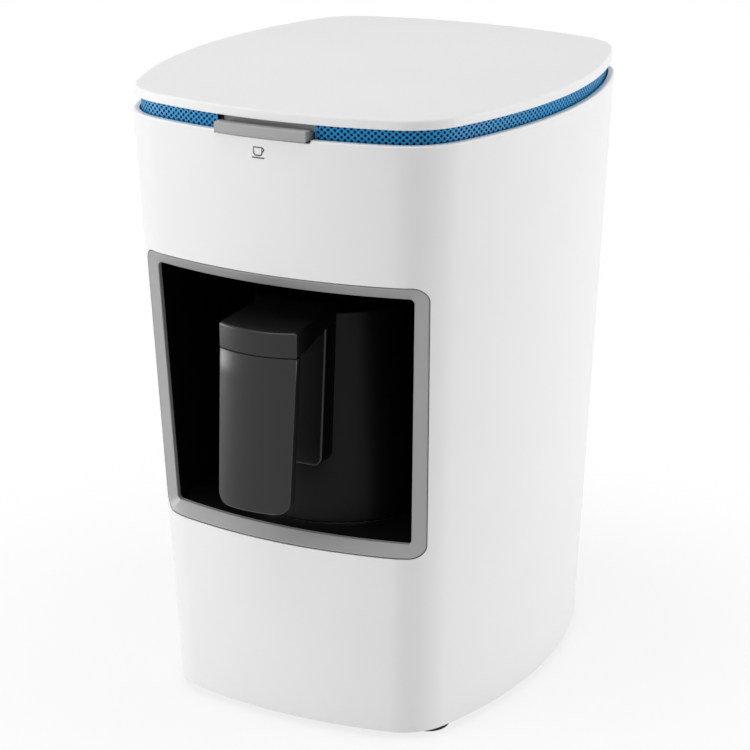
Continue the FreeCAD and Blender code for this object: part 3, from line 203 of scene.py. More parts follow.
def housing_arcs(height, inset=0.0):
    """The housing's outline at a height: eight arcs as centre, radius, start and end."""
    rise = (height - SHELL_LOW) / (SHELL_TOP - SHELL_LOW)
    width = mix(BOTTOM_WIDTH, TOP_WIDTH, rise) - 2 * inset
    depth = mix(BOTTOM_DEPTH, TOP_DEPTH, rise) - 2 * inset
    corner = mix(BOTTOM_CORNER, TOP_CORNER, rise) - inset
    shift = mix(BOTTOM_SHIFT, 0.0, rise) + MIDDLE_Y
    bow, side = FRONT_BOW - inset, SIDE_BOW - inset
    middles = [Vector((0, shift - depth / 2 + bow)), Vector((width / 2 - side, shift)),
               Vector((0, shift + depth / 2 - bow)), Vector((side - width / 2, shift))]
    radii = [bow, side, bow, side]
    quarters = [Vector((1, -1)), Vector((1, 1)), Vector((-1, 1)), Vector((-1, -1))]
    corners = []
    for i in range(4):
        one, two = middles[i], middles[(i + 1) % 4]
        near, far = radii[i] - corner, radii[(i + 1) % 4] - corner
        span = two - one
        along = (span.length ** 2 + near ** 2 - far ** 2) / (2 * span.length)
        across = math.sqrt(near ** 2 - along ** 2)
        ahead = span.normalized()
        left = Vector((-ahead.y, ahead.x))
        choices = [one + ahead * along + left * (turn * across) for turn in (-1, 1)]
        corners.append(max(choices, key=lambda p: p.dot(quarters[i])))
    arcs = []
    for i in range(4):
        for centre, radius, first, second in (
            (middles[i], radii[i], corners[i - 1] - middles[i], corners[i] - middles[i]),
            (corners[i], corner, corners[i] - middles[i], corners[i] - middles[(i + 1) % 4]),
        ):
            start, end = (math.atan2(v.y, v.x) for v in (first, second))
            arcs.append((centre, radius, start, end if end > start else end + 2 * math.pi))
    return arcs


WALL_STEPS, CORNER_STEPS, WALL_TRIES, NORMAL_STEP = 40, 20, 12, 0.05 * MM


def housing_row(height, inset=0.0, z=None):
    """One row of points round the housing."""
    row = []
    for i, (centre, radius, start, end) in enumerate(housing_arcs(height, inset)):
        count = WALL_STEPS if i % 2 == 0 else CORNER_STEPS
        for x, y, _, _ in arc_points(centre, radius, start, end, count):
            row.append((x, y, height if z is None else z))
    return row


def outside_by(x, y, height):
    """How far a point near the wall lies outside the housing's outline at a height."""
    nearest = None
    for centre, radius, start, end in housing_arcs(height):
        angle = math.atan2(y - centre.y, x - centre.x)
        while angle < start:
            angle += 2 * math.pi
        gap = math.hypot(x - centre.x, y - centre.y) - radius
        if angle <= end and (nearest is None or abs(gap) < abs(nearest)):
            nearest = gap
    return nearest if nearest is not None else 0.0


def housing_normal(x, y, z):
    """The outward direction of the housing's wall near a point."""
    step = NORMAL_STEP
    across = outside_by(x + step, y, z) - outside_by(x - step, y, z)
    ahead = outside_by(x, y + step, z) - outside_by(x, y - step, z)
    up = outside_by(x, y, z + step) - outside_by(x, y, z - step)
    return Vector((across, ahead, up)).normalized()


def on_front(x, z, recess=0.0):
    """A point on the bowed, leaning front, a recess behind its surface."""
    rise = (z - SHELL_LOW) / (SHELL_TOP - SHELL_LOW)
    middle = mix(BOTTOM_DEPTH / 2 - BOTTOM_SHIFT, TOP_DEPTH / 2, rise)
    y = MIDDLE_Y - middle + FRONT_BOW - math.sqrt(FRONT_BOW ** 2 - x ** 2) + recess
    return (x, y, z)


def on_wall(x, z, recess=0.0):
    """A point on the front that also follows the housing's round corners."""
    y = on_front(x, z)[1]
    for _ in range(WALL_TRIES):
        y += max(0.0, outside_by(x, y, z))
    return (x, y + recess, z)


def rounded_quad(shape, grow=0.0, corner_steps=10, side_steps=24):
    """A rounded quadrilateral in x and z, grown outwards, counter-clockwise from the front."""
    lean = (shape["half_high"] - shape["half_low"]) / (shape["high"] - shape["low"])
    slant = math.sqrt(1 + lean ** 2)
    low, high = shape["low"] - grow, shape["high"] + grow
    half_low = shape["half_low"] - lean * grow + grow * slant
    half_high = shape["half_high"] + lean * grow + grow * slant
    radius = shape["corner"] + grow
    corners = [Vector(p) for p in ((-half_low, low), (half_low, low), (half_high, high), (-half_high, high))]
    rounds = []
    for i, corner in enumerate(corners):
        to_last = (corners[i - 1] - corner).normalized()
        to_next = (corners[(i + 1) % 4] - corner).normalized()
        half = to_last.angle(to_next) / 2
        middle = corner + (to_last + to_next).normalized() * (radius / math.sin(half))
        first = corner + to_last * (radius / math.tan(half)) - middle
        sweep = math.pi - 2 * half
        turns = [Matrix.Rotation(sweep * s / corner_steps, 2) for s in range(corner_steps + 1)]
        rounds.append([middle + turn @ first for turn in turns])
    outline = []
    for i in range(4):
        outline += rounds[i]
        start, end = rounds[i][-1], rounds[(i + 1) % 4][0]
        outline += [start.lerp(end, s / side_steps) for s in range(1, side_steps)]
    return outline


# Materials

def linear(*levels):
    """A colour given as it shows on a screen, 0 to 255, in the shader's own linear scale."""
    return tuple(((v / 255 + 0.055) / 1.055) ** 2.4 if v > 10 else v / 255 / 12.92 for v in levels) + (1.0,)


BLOTCHES, BLOTCH_DETAIL, GRAIN_DETAIL = 28.0, 3.0, 2.0
NOISE_LOW, NOISE_HIGH, RELIEF = 0.3, 0.7, 0.1 * MM


def finish_of(name, colour, roughness, grain=0.3, bump=0.02, tone=0.06, metallic=0.0, specular=0.5,
              coat=0.0, spread=0.06, stretch=(1, 1, 1)):
    """A procedural finish: even colour with slow blotches, uneven gloss and a fine grain.
    grain is the size of the grain in millimetres, tone and spread how far colour and roughness vary."""
    material = bpy.data.materials.new(name)
    material.use_nodes = True
    nodes, links = material.node_tree.nodes, material.node_tree.links
    shader = nodes["Principled BSDF"]
    shader.inputs["Metallic"].default_value = metallic
    shader.inputs["Specular IOR Level"].default_value = specular
    shader.inputs["Coat Weight"].default_value = coat
    place = nodes.new("ShaderNodeTexCoord")
    scaled = nodes.new("ShaderNodeMapping")
    scaled.inputs["Scale"].default_value = stretch
    links.new(place.outputs["Object"], scaled.inputs["Vector"])

    slow = nodes.new("ShaderNodeTexNoise")
    slow.inputs["Scale"].default_value = BLOTCHES
    slow.inputs["Detail"].default_value = BLOTCH_DETAIL
    fine = nodes.new("ShaderNodeTexNoise")
    fine.inputs["Scale"].default_value = 1 / (grain * MM)
    fine.inputs["Detail"].default_value = GRAIN_DETAIL
    for noise in (slow, fine):
        links.new(scaled.outputs["Vector"], noise.inputs["Vector"])

    ramp = nodes.new("ShaderNodeValToRGB")
    base = linear(*colour)
    ramp.color_ramp.elements[0].position = NOISE_LOW
    ramp.color_ramp.elements[1].position = NOISE_HIGH
    ramp.color_ramp.elements[0].color = tuple(c * (1 - tone) for c in base[:3]) + (1.0,)
    ramp.color_ramp.elements[1].color = base
    links.new(slow.outputs["Fac"], ramp.inputs["Fac"])
    links.new(ramp.outputs["Color"], shader.inputs["Base Color"])

    gloss = nodes.new("ShaderNodeMapRange")
    gloss.inputs["From Min"].default_value = NOISE_LOW
    gloss.inputs["From Max"].default_value = NOISE_HIGH
    gloss.inputs["To Min"].default_value = max(0.0, roughness - spread)
    gloss.inputs["To Max"].default_value = min(1.0, roughness + spread)
    links.new(fine.outputs["Fac"], gloss.inputs["Value"])
    links.new(gloss.outputs["Result"], shader.inputs["Roughness"])

    relief = nodes.new("ShaderNodeBump")
    relief.inputs["Strength"].default_value = bump
    relief.inputs["Distance"].default_value = RELIEF
    links.new(fine.outputs["Fac"], relief.inputs["Height"])
    links.new(relief.outputs["Normal"], shader.inputs["Normal"])
    return material


FINISHES = {
    "white_shell": finish_of("white_shell", (240, 240, 240), 0.3, grain=0.25, bump=0.015, tone=0.012,
                             specular=0.14, spread=0.03),
    "blue_mesh": finish_of("blue_mesh", (22, 142, 200), 0.4, grain=0.4, tone=0.1, specular=0.3),
    # Dark navy for the sheet behind the ring's holes is painted shade.
    "blue_painted_shade": finish_of("blue_painted_shade", (8, 24, 62), 0.6, grain=0.4, specular=0.2),
    "grey_trim": finish_of("grey_trim", (164, 164, 164), 0.42, grain=0.2, bump=0.04, tone=0.03),
    "black_gloss": finish_of("black_gloss", (8, 8, 8), 0.5, grain=0.3, specular=0.15, tone=0.2),
    "black_satin": finish_of("black_satin", (14, 14, 14), 0.34, grain=0.22, bump=0.04, tone=0.2),
    "pot_coat": finish_of("pot_coat", (10, 10, 11), 0.45, grain=0.18, bump=0.06, specular=0.15, tone=0.25),
    "bare_metal": finish_of("bare_metal", (182, 182, 184), 0.3, grain=0.3, metallic=1.0, stretch=(1, 8, 1)),
    "steel": finish_of("steel", (160, 160, 164), 0.35, grain=0.2, metallic=1.0, stretch=(6, 1, 1)),
    "clear_window": finish_of("clear_window", (70, 74, 78), 0.12, grain=0.5),
    "rubber": finish_of("rubber", (32, 32, 33), 0.75, grain=0.3, bump=0.1, specular=0.3),
    "red_seal": finish_of("red_seal", (150, 40, 32), 0.55, grain=0.3, bump=0.08),
    "circuit_board": finish_of("circuit_board", (24, 92, 52), 0.35, grain=0.6, tone=0.2),
    "component": finish_of("component", (26, 26, 28), 0.45, grain=0.3),
    "component_blue": finish_of("component_blue", (36, 84, 156), 0.4, grain=0.3),
    "led": finish_of("led", (230, 70, 50), 0.2, grain=0.5),
    "wire": finish_of("wire", (188, 60, 44), 0.5, grain=0.3),
    "grey_plastic": finish_of("grey_plastic", (98, 98, 100), 0.5, grain=0.22, bump=0.05),
    "print_grey": finish_of("print_grey", (84, 84, 84), 0.5, grain=0.2),
}


def dress_frame():
    """Gives every CAD node the finish of its material slot."""
    for entry in frame["record"]["subparts"]:
        node = frame["nodes"][entry["node"]]
        node.data.materials.clear()
        node.data.materials.append(FINISHES[entry["material_slot"]])


# Housing pieces

def edge_rows(height, inset, radius, steps=6):
    """Rows that round an upper edge: from the wall to the flat top."""
    rows = []
    for turn in quarter_turn(steps):
        rows.append(housing_row(SHELL_TOP, inset + radius * (1 - math.cos(turn)),
                                height - radius + radius * math.sin(turn)))
    return rows


def cut_away(piece, cutters):
    """Takes the cutters out of a piece, then removes them."""
    for cutter in cutters:
        cut = piece.modifiers.new("cut", "BOOLEAN")
        cut.object = cutter
        cut.operation = "DIFFERENCE"
        cut.solver = "EXACT"
    bpy.context.view_layer.update()
    depsgraph = bpy.context.evaluated_depsgraph_get()
    mesh = bpy.data.meshes.new_from_object(piece.evaluated_get(depsgraph))
    piece.modifiers.clear()
    piece.data = mesh
    for cutter in cutters:
        bpy.data.objects.remove(cutter)


def box_cutter(low, high):
    x0, y0, z0 = low
    x1, y1, z1 = high
    rows = [[(x0, y0, z), (x1, y0, z), (x1, y1, z), (x0, y1, z)] for z in (z0, z1)]
    return mesh_piece("cutter", *skin(rows, first_cap=True, last_cap=True))


NOTCH_HALF, NOTCH_DROP = 21.4 * MM, 1.3 * MM
GLAND_Z, GLAND_HOLE, GLAND_STEPS, WALL_BEHIND = 24.0 * MM, 6.5 * MM, 48, 50.0 * MM
SHELL_ROWS, CUT_REACH, CUT_OVER = 16, 150.0 * MM, 10.0 * MM


def make_shell():
    steps = [i / SHELL_ROWS for i in range(SHELL_ROWS + 1)]
    outer = [housing_row(mix(SHELL_LOW, SHELL_TOP - SHELL_EDGE, step)) for step in steps]
    outer += edge_rows(SHELL_TOP, 0.0, SHELL_EDGE)[1:]
    inner = [housing_row(mix(SHELL_TOP, SHELL_LOW, step), SHELL_WALL) for step in steps]
    rows = outer + inner
    points, faces = skin(rows)
    count = len(rows[0])
    last = (len(rows) - 1) * count
    faces += [(last + i, last + (i + 1) % count, (i + 1) % count, i) for i in range(count)]
    shell = mesh_piece("shell_finish", points, faces)
    opening = [[(p.x, y, p.y) for p in rounded_quad(BEZEL, FIT_GAP)] for y in (-CUT_REACH, 0.0)]
    cutters = [mesh_piece("cutter", *skin(opening, first_cap=True, last_cap=True))]
    cutters.append(box_cutter((-NOTCH_HALF, -CUT_REACH, SHELL_TOP - NOTCH_DROP),
                              (NOTCH_HALF, 0.0, SHELL_TOP + CUT_OVER)))
    turns = [2 * math.pi * i / GLAND_STEPS for i in range(GLAND_STEPS)]
    rim = [[(GLAND_HOLE * math.cos(turn), y, GLAND_Z + GLAND_HOLE * math.sin(turn)) for turn in turns]
           for y in (WALL_BEHIND, CUT_REACH)]
    cutters.append(mesh_piece("cutter", *skin(rim, first_cap=True, last_cap=True)))
    for cutter in cutters:
        fix_normals(cutter)
    fix_normals(shell)
    cut_away(shell, cutters)
    shade_housing(shell)
    finish_piece(shell, FINISHES["white_shell"], "housing", "white_shell", "outer_shell")


def fix_normals(piece):
    work = bmesh.new()
    work.from_mesh(piece.data)
    bmesh.ops.recalc_face_normals(work, faces=work.faces)
    work.to_mesh(piece.data)
    work.free()


def shade_housing(shell):
    """Gives the outer wall the directions of the true bowed surface, and flat cuts their own."""
    mesh = shell.data
    mesh.shade_smooth()
    known = {}
    normals = [None] * len(mesh.loops)
    bend = SHELL_TOP - SHELL_EDGE
    for face in mesh.polygons:
        middle = face.center
        wall = housing_normal(*middle)
        inset = -outside_by(middle.x, middle.y, min(middle.z, SHELL_TOP))
        outer = inset < SHELL_EDGE and face.normal.dot(wall) > 0.5
        for loop in face.loop_indices:
            index = mesh.loops[loop].vertex_index
            if not outer:
                normals[loop] = face.normal
                continue
            if index not in known:
                p = mesh.vertices[index].co
                out = housing_normal(p.x, p.y, min(p.z, SHELL_TOP - 2 * NORMAL_STEP))
                if p.z > bend:
                    turn = math.asin(min(1.0, (p.z - bend) / SHELL_EDGE))
                    out = out * math.cos(turn) + Vector((0, 0, math.sin(turn)))
                known[index] = out.normalized()
            normals[loop] = known[index]
    mesh.normals_split_custom_set(normals)


def make_lid():
    rows = [housing_row(SHELL_TOP, LID_INSET + LID_FOOT_EDGE, LID_LOW),
            housing_row(SHELL_TOP, LID_INSET, LID_LOW + LID_FOOT_EDGE)]
    rows += edge_rows(LID_TOP, LID_INSET, LID_EDGE)
    lid = mesh_piece("lid_finish", *skin(rows, first_cap=True, last_cap=True))
    smooth_by_angle(lid, 35)
    finish_piece(lid, FINISHES["white_shell"], "housing", "white_shell", "lid")


# Ring: a band with staggered round holes in six-sided cells

def ring_track(inset):
    """The ring's path from one side of the button round the back to the other: a function
    of the distance along it that gives a point and its outward direction, and its length."""
    arcs = housing_arcs(SHELL_TOP, inset)
    front_centre, front_radius, _, front_end = arcs[0]
    start = math.atan2(-math.sqrt(front_radius ** 2 - RING_GAP ** 2), RING_GAP)
    start_angle = start + (2 * math.pi if start < arcs[0][2] else 0)
    path = [(front_centre, front_radius, start_angle, front_end)] + arcs[1:]
    last_angle = 3 * math.pi - start_angle
    while last_angle < arcs[0][2]:
        last_angle += 2 * math.pi
    while last_angle > front_end:
        last_angle -= 2 * math.pi
    path.append((front_centre, front_radius, arcs[0][2], last_angle))
    lengths = [radius * (end - begin) for _, radius, begin, end in path]

    def at(distance):
        rest = distance
        for (centre, radius, begin, end), length in zip(path, lengths):
            if rest <= length or length is lengths[-1]:
                angle = begin + rest / radius
                return (centre[0] + radius * math.cos(angle), centre[1] + radius * math.sin(angle),
                        math.cos(angle), math.sin(angle))
            rest -= length

    return at, sum(lengths)


def make_ring():
    at, length = ring_track(RING_INSET)
    columns = round(length / HOLE_PITCH)
    pitch = length / columns
    half = pitch / 2
    low, high = RING_LOW, LID_LOW
    tip = (half ** 2 + HOLE_ROW ** 2) / pitch
    shoulder = half - tip
    cell = [(tip, 0), (half / 2, HOLE_ROW / 2), (shoulder, HOLE_ROW), (0, HOLE_ROW), (-shoulder, HOLE_ROW),
            (-half / 2, HOLE_ROW / 2), (-tip, 0), (-half / 2, -HOLE_ROW / 2), (-shoulder, -HOLE_ROW),
            (0, -HOLE_ROW), (shoulder, -HOLE_ROW), (half / 2, -HOLE_ROW / 2)]
    points, faces, shared = [], [], {}

    def place(along, up, deep):
        x, y, out_x, out_y = at(min(max(along, 0.0), length))
        return (x - out_x * deep, y - out_y * deep, min(max(up, low), high))

    def corner(along, up):
        key = (round(along / MM, 3), round(up / MM, 3))
        if key not in shared:
            shared[key] = len(points)
            points.append(place(along, up, 0.0))
        return shared[key]

    top_row = high - HOLE_HEAD
    for row in range(-1, HOLE_ROWS + 2):
        up = top_row - row * HOLE_ROW
        odd = row % 2
        for column in range(columns + odd):
            along = pitch * (column + (0.0 if odd else 0.5))
            rim = [corner(along + du, up + dv) for du, dv in cell]
            holed = 0 <= row < HOLE_ROWS and not (odd and column in (0, columns))
            if not holed:
                faces.append(tuple(rim))
                continue
            mouth, foot = [], []
            for du, dv in cell:
                reach = HOLE_RADIUS / math.hypot(du, dv)
                for ring, deep in ((mouth, 0.0), (foot, RING_WALL)):
                    ring.append(len(points))
                    points.append(place(along + du * reach, up + dv * reach, deep))
            for i in range(12):
                j = (i + 1) % 12
                faces.append((rim[i], rim[j], mouth[j], mouth[i]))
                faces.append((mouth[i], mouth[j], foot[j], foot[i]))
    ring = mesh_piece("ring_finish", points, faces)
    smooth_by_angle(ring, 35)
    finish_piece(ring, FINISHES["blue_mesh"], "housing", "blue_mesh", "mesh_ring")

    # Painted shade: a dark navy sheet just behind the holes stands in for the shade inside the housing seen
    # through them.
    steps = 320
    rows = []
    for up in (low, high):
        rows.append([place(length * s / steps, up, RING_SHADE_DEPTH) for s in range(steps + 1)])
    shade_sheet = mesh_piece("ring_painted_shade", *skin(rows, closed=False))
    shade_sheet.data.shade_smooth()
    finish_piece(shade_sheet, FINISHES["blue_painted_shade"], "housing", "blue_mesh")


# Frame round the bay

def make_bezel():
    outer = rounded_quad(BEZEL)
    eased = rounded_quad(BEZEL, -BEZEL_EDGE)
    inner = rounded_quad(BAY)
    lip = rounded_quad(BAY, BEZEL_LIP)
    rounded = rounded_quad(BEZEL, -BEZEL_ROUND)
    rows = [
        [on_front(p.x, p.y, BEZEL_DEEP) for p in outer],
        [on_wall(p.x, p.y, BEZEL_EDGE) for p in outer],
        [on_wall(p.x, p.y, BEZEL_ROUND) for p in rounded],
        [on_wall(p.x, p.y, BEZEL_EDGE * 0.35) for p in eased],
        [on_front(p.x, p.y, BEZEL_RECESS) for p in lip],
        [on_front(p.x, p.y, BEZEL_RECESS + BEZEL_LIP_DEEP) for p in inner],
        [on_front(p.x, p.y, BEZEL_DEEP) for p in inner],
    ]
    bezel = mesh_piece("bezel_finish", *skin(rows + rows[:1]))
    fix_normals(bezel)
    smooth_by_angle(bezel, 25)
    finish_piece(bezel, FINISHES["grey_trim"], "housing", "grey_trim", "opening_bezel")
    # Painted shade: a thin black strip set in the gap between the frame and the housing stands in for the
    # shadow in that gap.
    gap = [[on_wall(p.x, p.y, SHADE_STRIP_RECESS) for p in rounded_quad(BEZEL, grow)]
           for grow in (-SHADE_STRIP_LAP, FIT_GAP)]
    shade = mesh_piece("bezel_gap_painted_shade", *skin(gap))
    fix_normals(shade)
    finish_piece(shade, FINISHES["black_gloss"], "housing", "black_gloss")


# Start button

def plan_prism(loops):
    """A closed piece through loops of points, capped at both ends."""
    return skin(loops, first_cap=True, last_cap=True)


def bar_loop(z, inset, back_y, steps=32):
    """The button bar in plan at a height: bowed front, straight sides and back."""
    half = BUTTON_HALF - inset
    front = BUTTON_FRONT + inset
    bow = FRONT_BOW
    loop = []
    for s in range(steps + 1):
        x = mix(-half, half, s / steps)
        loop.append((x, front + bow - math.sqrt(bow ** 2 - x ** 2), z))
    loop += [(half, back_y - inset, z), (-half, back_y - inset, z)]
    return loop


def box_loops(x_half, y_low, y_high, z_low, z_high, edge):
    loops = []
    bend = edge * EDGE_BEND
    levels = ((z_low, edge), (z_low + edge, 0), (z_high - edge, 0), (z_high - bend, bend), (z_high, edge))
    for z, inset in levels:
        loops.append([(-x_half + inset, y_low + inset, z), (x_half - inset, y_low + inset, z),
                      (x_half - inset, y_high - inset, z), (-x_half + inset, y_high - inset, z)])
    return loops


def make_button():
    back = BUTTON_FRONT + BUTTON_DEEP
    web_front = back + LEDGE_DEEP
    bar = [bar_loop(BUTTON_LOW, BUTTON_FOOT, back), bar_loop(BUTTON_LOW + BUTTON_FOOT, 0, back)]
    steps = 5
    for s in range(steps + 1):
        turn = math.pi / 2 * s / steps
        bar.append(bar_loop(BUTTON_HIGH - BUTTON_BEVEL * (1 - math.sin(turn)),
                            BUTTON_BEVEL * (1 - math.cos(turn)), back))
    edge = LEDGE_EDGE
    ledge = box_loops(BUTTON_HALF, back - edge, web_front + edge, BUTTON_LOW, BUTTON_HIGH - LEDGE_DROP, edge)
    web = box_loops(BUTTON_HALF, web_front, web_front + WEB_THICK, BUTTON_LOW, WEB_HIGH, edge)
    button = mesh_piece("button_finish", *joined(plan_prism(bar), plan_prism(ledge), plan_prism(web)))
    fix_normals(button)
    smooth_by_angle(button, SMOOTH_ANGLE)
    finish_piece(button, FINISHES["grey_trim"], "button", "grey_trim", "start_button")


# Pot and handle

def lathe(name, profile, centre_y, steps=160):
    """A round piece: profile is a list of (radius, height) from the underside outwards and back."""
    turns = [2 * math.pi * s / steps for s in range(steps)]
    rows = []
    for radius, z in profile:
        rows.append([(radius * math.cos(turn), centre_y + radius * math.sin(turn), z) for turn in turns])
    piece = mesh_piece(name, *skin(rows, first_cap=True, last_cap=True))
    fix_normals(piece)
    smooth_by_angle(piece, 30)
    return piece


def wall_radius(z):
    return mix(POT_BASE_RADIUS, POT_RIM_RADIUS, (z - POT_LOW) / (POT_RIM - POT_LOW))


def make_pot():
    low, foot = POT_LOW + POT_DISC, POT_LOW + POT_FOOT
    edge = POT_EDGE
    lip = POT_WALL / 2
    disc = POT_BASE_RADIUS - POT_DISC_INSET + POT_DISC_ROOM
    profile = [(disc, low), (disc, foot)]
    for turn in quarter_turn(FOOT_STEPS)[1:]:
        radius = wall_radius(foot) - edge * (1 - math.sin(turn))
        profile.append((radius, foot + edge * (1 - math.cos(turn))))
    heights = [mix(foot + 2 * edge, POT_RIM - lip, share) for share in [0] + shares(WALL_ROWS)]
    profile += [(wall_radius(z), z) for z in heights]
    for share in shares(LIP_STEPS)[:-1]:
        turn = math.pi * share
        profile.append((POT_RIM_RADIUS - lip + lip * math.cos(turn), POT_RIM - lip + lip * math.sin(turn)))
    floor = low + POT_WALL
    inside = wall_radius(floor) - POT_WALL
    bend, ease = 3 * edge, 5 * edge
    profile += [(wall_radius(POT_RIM) - POT_WALL, POT_RIM - lip), (inside - bend, floor + bend),
                (inside - ease, floor), (POT_MIDDLE, floor)]
    pot = lathe("pot_finish", profile, POT_Y)
    finish_piece(pot, FINISHES["pot_coat"], "pot", "pot_coat", "pot_vessel")


def handle_plan(z, inset, half, half_back, back_y, front_y=HANDLE_FRONT, steps=28, edge=HANDLE_EDGE):
    """The handle in plan at a height: convex front arc, rounded front corners, straight back."""
    half, half_back = half - inset, half_back - inset
    front = front_y + inset
    bow = HANDLE_BOW
    edge = min(edge, half * EDGE_LIMIT)
    centre = front + bow
    inner = half - edge
    corner_y = centre - math.sqrt((bow - edge) ** 2 - inner ** 2)
    lean = math.atan2(centre - corner_y, inner)
    loop = []
    for s in range(steps + 1):
        angle = mix(-math.pi + lean, -lean, s / steps)
        loop.append((bow * math.cos(angle), centre + bow * math.sin(angle), z))
    rounds = 5
    right = []
    for s in range(1, rounds + 1):
        angle = mix(-lean, 0, s / rounds)
        right.append((inner + edge * math.cos(angle), corner_y + edge * math.sin(angle), z))
    loop += right
    loop += [(half_back, back_y - inset - edge * 0.5, z), (half_back - edge * 0.5, back_y - inset, z),
             (-half_back + edge * 0.5, back_y - inset, z), (-half_back, back_y - inset - edge * 0.5, z)]
    loop += [(-x, y, zz) for x, y, zz in reversed(right)]
    return loop


GRIP_CORNER_STEPS, MOUNT_CORNER_STEPS, HOOD_EDGE_STEPS, MOUNT_EDGE_STEPS = 14, 12, 6, 5
SIDE_STEPS, REAR_STEPS, FACE_STEPS = 12, 16, 8


def make_grip():
    """Rows from the underside up: the width follows the front view's rounded lower corners."""
    edge = HANDLE_EDGE
    corner = GRIP_CORNER
    span = GRIP_TOP - GRIP_LOW

    def half_at(z):
        full = mix(GRIP_HALF_LOW, HANDLE_HALF, (z - GRIP_LOW) / span)
        if z < GRIP_LOW + corner:
            drop = GRIP_LOW + corner - z
            return full - corner + math.sqrt(max(0.0, corner ** 2 - drop ** 2))
        return full

    def grip_row(z, inset):
        lean = HANDLE_LEAN * (GRIP_TOP - z) / span
        return handle_plan(z, inset, half_at(z), half_at(z), GRIP_BACK - lean, HANDLE_FRONT - lean)

    levels = [GRIP_LOW + corner * (1 - math.cos(turn)) for turn in quarter_turn(GRIP_CORNER_STEPS)]
    levels += [mix(GRIP_LOW + corner, GRIP_TOP - SEAM_DROP, share) for share in shares(WALL_ROWS)]
    rows = [grip_row(GRIP_LOW, edge * FOOT_EDGE)]
    for z in levels:
        rise = z - GRIP_LOW
        inset = 0.0 if rise > edge else edge * (1 - math.sqrt(max(0.0, 1 - (1 - rise / edge) ** 2)))
        rows.append(grip_row(z, min(inset, edge * FOOT_EDGE)))
    rows.append(grip_row(GRIP_TOP, SEAM_INSET))
    grip = mesh_piece("grip_finish", *skin(rows, first_cap=True, last_cap=True))
    fix_normals(grip)
    smooth_by_angle(grip, SMOOTH_ANGLE)
    finish_piece(grip, FINISHES["black_satin"], "pot", "black_satin", "handle_grip")


def make_hood():
    """The cap over the grip and the pot's rim: its top climbs to the back, its underside too."""
    back = POT_Y - POT_RIM_RADIUS
    rise = (HOOD_BACK_TOP - HOOD_FRONT_TOP) / (back - HANDLE_FRONT)

    def over(y):
        return HOOD_FRONT_TOP + rise * (y - HANDLE_FRONT)

    def under(y):
        if y < GRIP_BACK:
            return HOOD_LOW
        return mix(HOOD_LOW, HOOD_UNDER, min(1.0, (y - GRIP_BACK) / (MOUNT_TOP_Y - GRIP_BACK)))

    def before_pot(x):
        return POT_Y - math.sqrt(POT_RIM_RADIUS ** 2 - x ** 2) - POT_ROOM

    def plan(inset):
        loop = handle_plan(0, inset, HANDLE_HALF, HOOD_BACK_HALF, back)
        head = [(x, y) for x, y, _ in loop if y < GRIP_BACK - HEAD_MARGIN]
        split = max(i for i, (x, _) in enumerate(head) if x > 0) + 1
        front, left = head[:split], head[split:]
        corner = front[-1]
        far_half = HOOD_BACK_HALF - inset
        side = [(mix(corner[0], far_half, share), mix(corner[1], before_pot(far_half), share))
                for share in shares(SIDE_STEPS)]
        across = [mix(far_half, -far_half, share) for share in shares(REAR_STEPS)[:-1]]
        rear = [(x, before_pot(x)) for x in across]
        return front + side + rear + [(-x, y) for x, y in reversed(side)] + left

    edge = HANDLE_EDGE
    rows = [[(x, y, under(y)) for x, y in plan(HOOD_FOOT_EDGE)],
            [(x, y, under(y) + HOOD_FOOT_EDGE) for x, y in plan(0.0)]]
    for turn in quarter_turn(HOOD_EDGE_STEPS):
        drop, inset = edge * (1 - math.sin(turn)), edge * (1 - math.cos(turn))
        rows.append([(x, y, over(y) - drop) for x, y in plan(inset)])
    hood = mesh_piece("hood_finish", *skin(rows, first_cap=True, last_cap=True))
    fix_normals(hood)
    smooth_by_angle(hood, SMOOTH_ANGLE)
    finish_piece(hood, FINISHES["black_satin"], "pot", "black_satin", "handle_hood")


def make_mount():
    """The strip on the pot's wall: its face leans out downwards, its lower corners are round."""
    edge = HANDLE_EDGE
    corner = MOUNT_CORNER

    def half_at(z):
        if z < MOUNT_LOW + corner:
            drop = MOUNT_LOW + corner - z
            return MOUNT_HALF - corner + math.sqrt(max(0.0, corner ** 2 - drop ** 2))
        return MOUNT_HALF

    def loop(z, inset):
        face = mix(MOUNT_LOW_Y, MOUNT_TOP_Y, (z - MOUNT_LOW) / (MOUNT_TOP - MOUNT_LOW)) + inset
        half = half_at(z) - inset
        radius = wall_radius(z)
        points = [(mix(-half + edge, half - edge, share), face, z) for share in [0] + shares(FACE_STEPS)]
        turned = [(half - edge + edge * math.sin(turn), face + edge * (1 - math.cos(turn)), z)
                  for turn in quarter_turn(MOUNT_EDGE_STEPS)[1:]]
        points += turned
        for share in [0] + shares(SIDE_STEPS):
            x = mix(half, -half, share)
            points.append((x, POT_Y - math.sqrt(radius ** 2 - x ** 2) + MOUNT_SUNK, z))
        points += [(-x, y, zz) for x, y, zz in reversed(turned)]
        return points

    rows = []
    levels = [MOUNT_LOW + corner * (1 - math.cos(turn)) for turn in quarter_turn(MOUNT_CORNER_STEPS)]
    levels += [mix(MOUNT_LOW + corner, MOUNT_TOP, share) for share in shares(WALL_ROWS)]
    for z in levels:
        rise = z - MOUNT_LOW
        inset = 0.0 if rise > edge else edge * (1 - math.sqrt(max(0.0, 1 - (1 - rise / edge) ** 2)))
        rows.append(loop(z, inset))
    mount = mesh_piece("mount_finish", *skin(rows, first_cap=True, last_cap=True))
    fix_normals(mount)
    smooth_by_angle(mount, SMOOTH_ANGLE)
    finish_piece(mount, FINISHES["black_satin"], "pot", "black_satin", "handle_mount")


# Printed cup over the bay

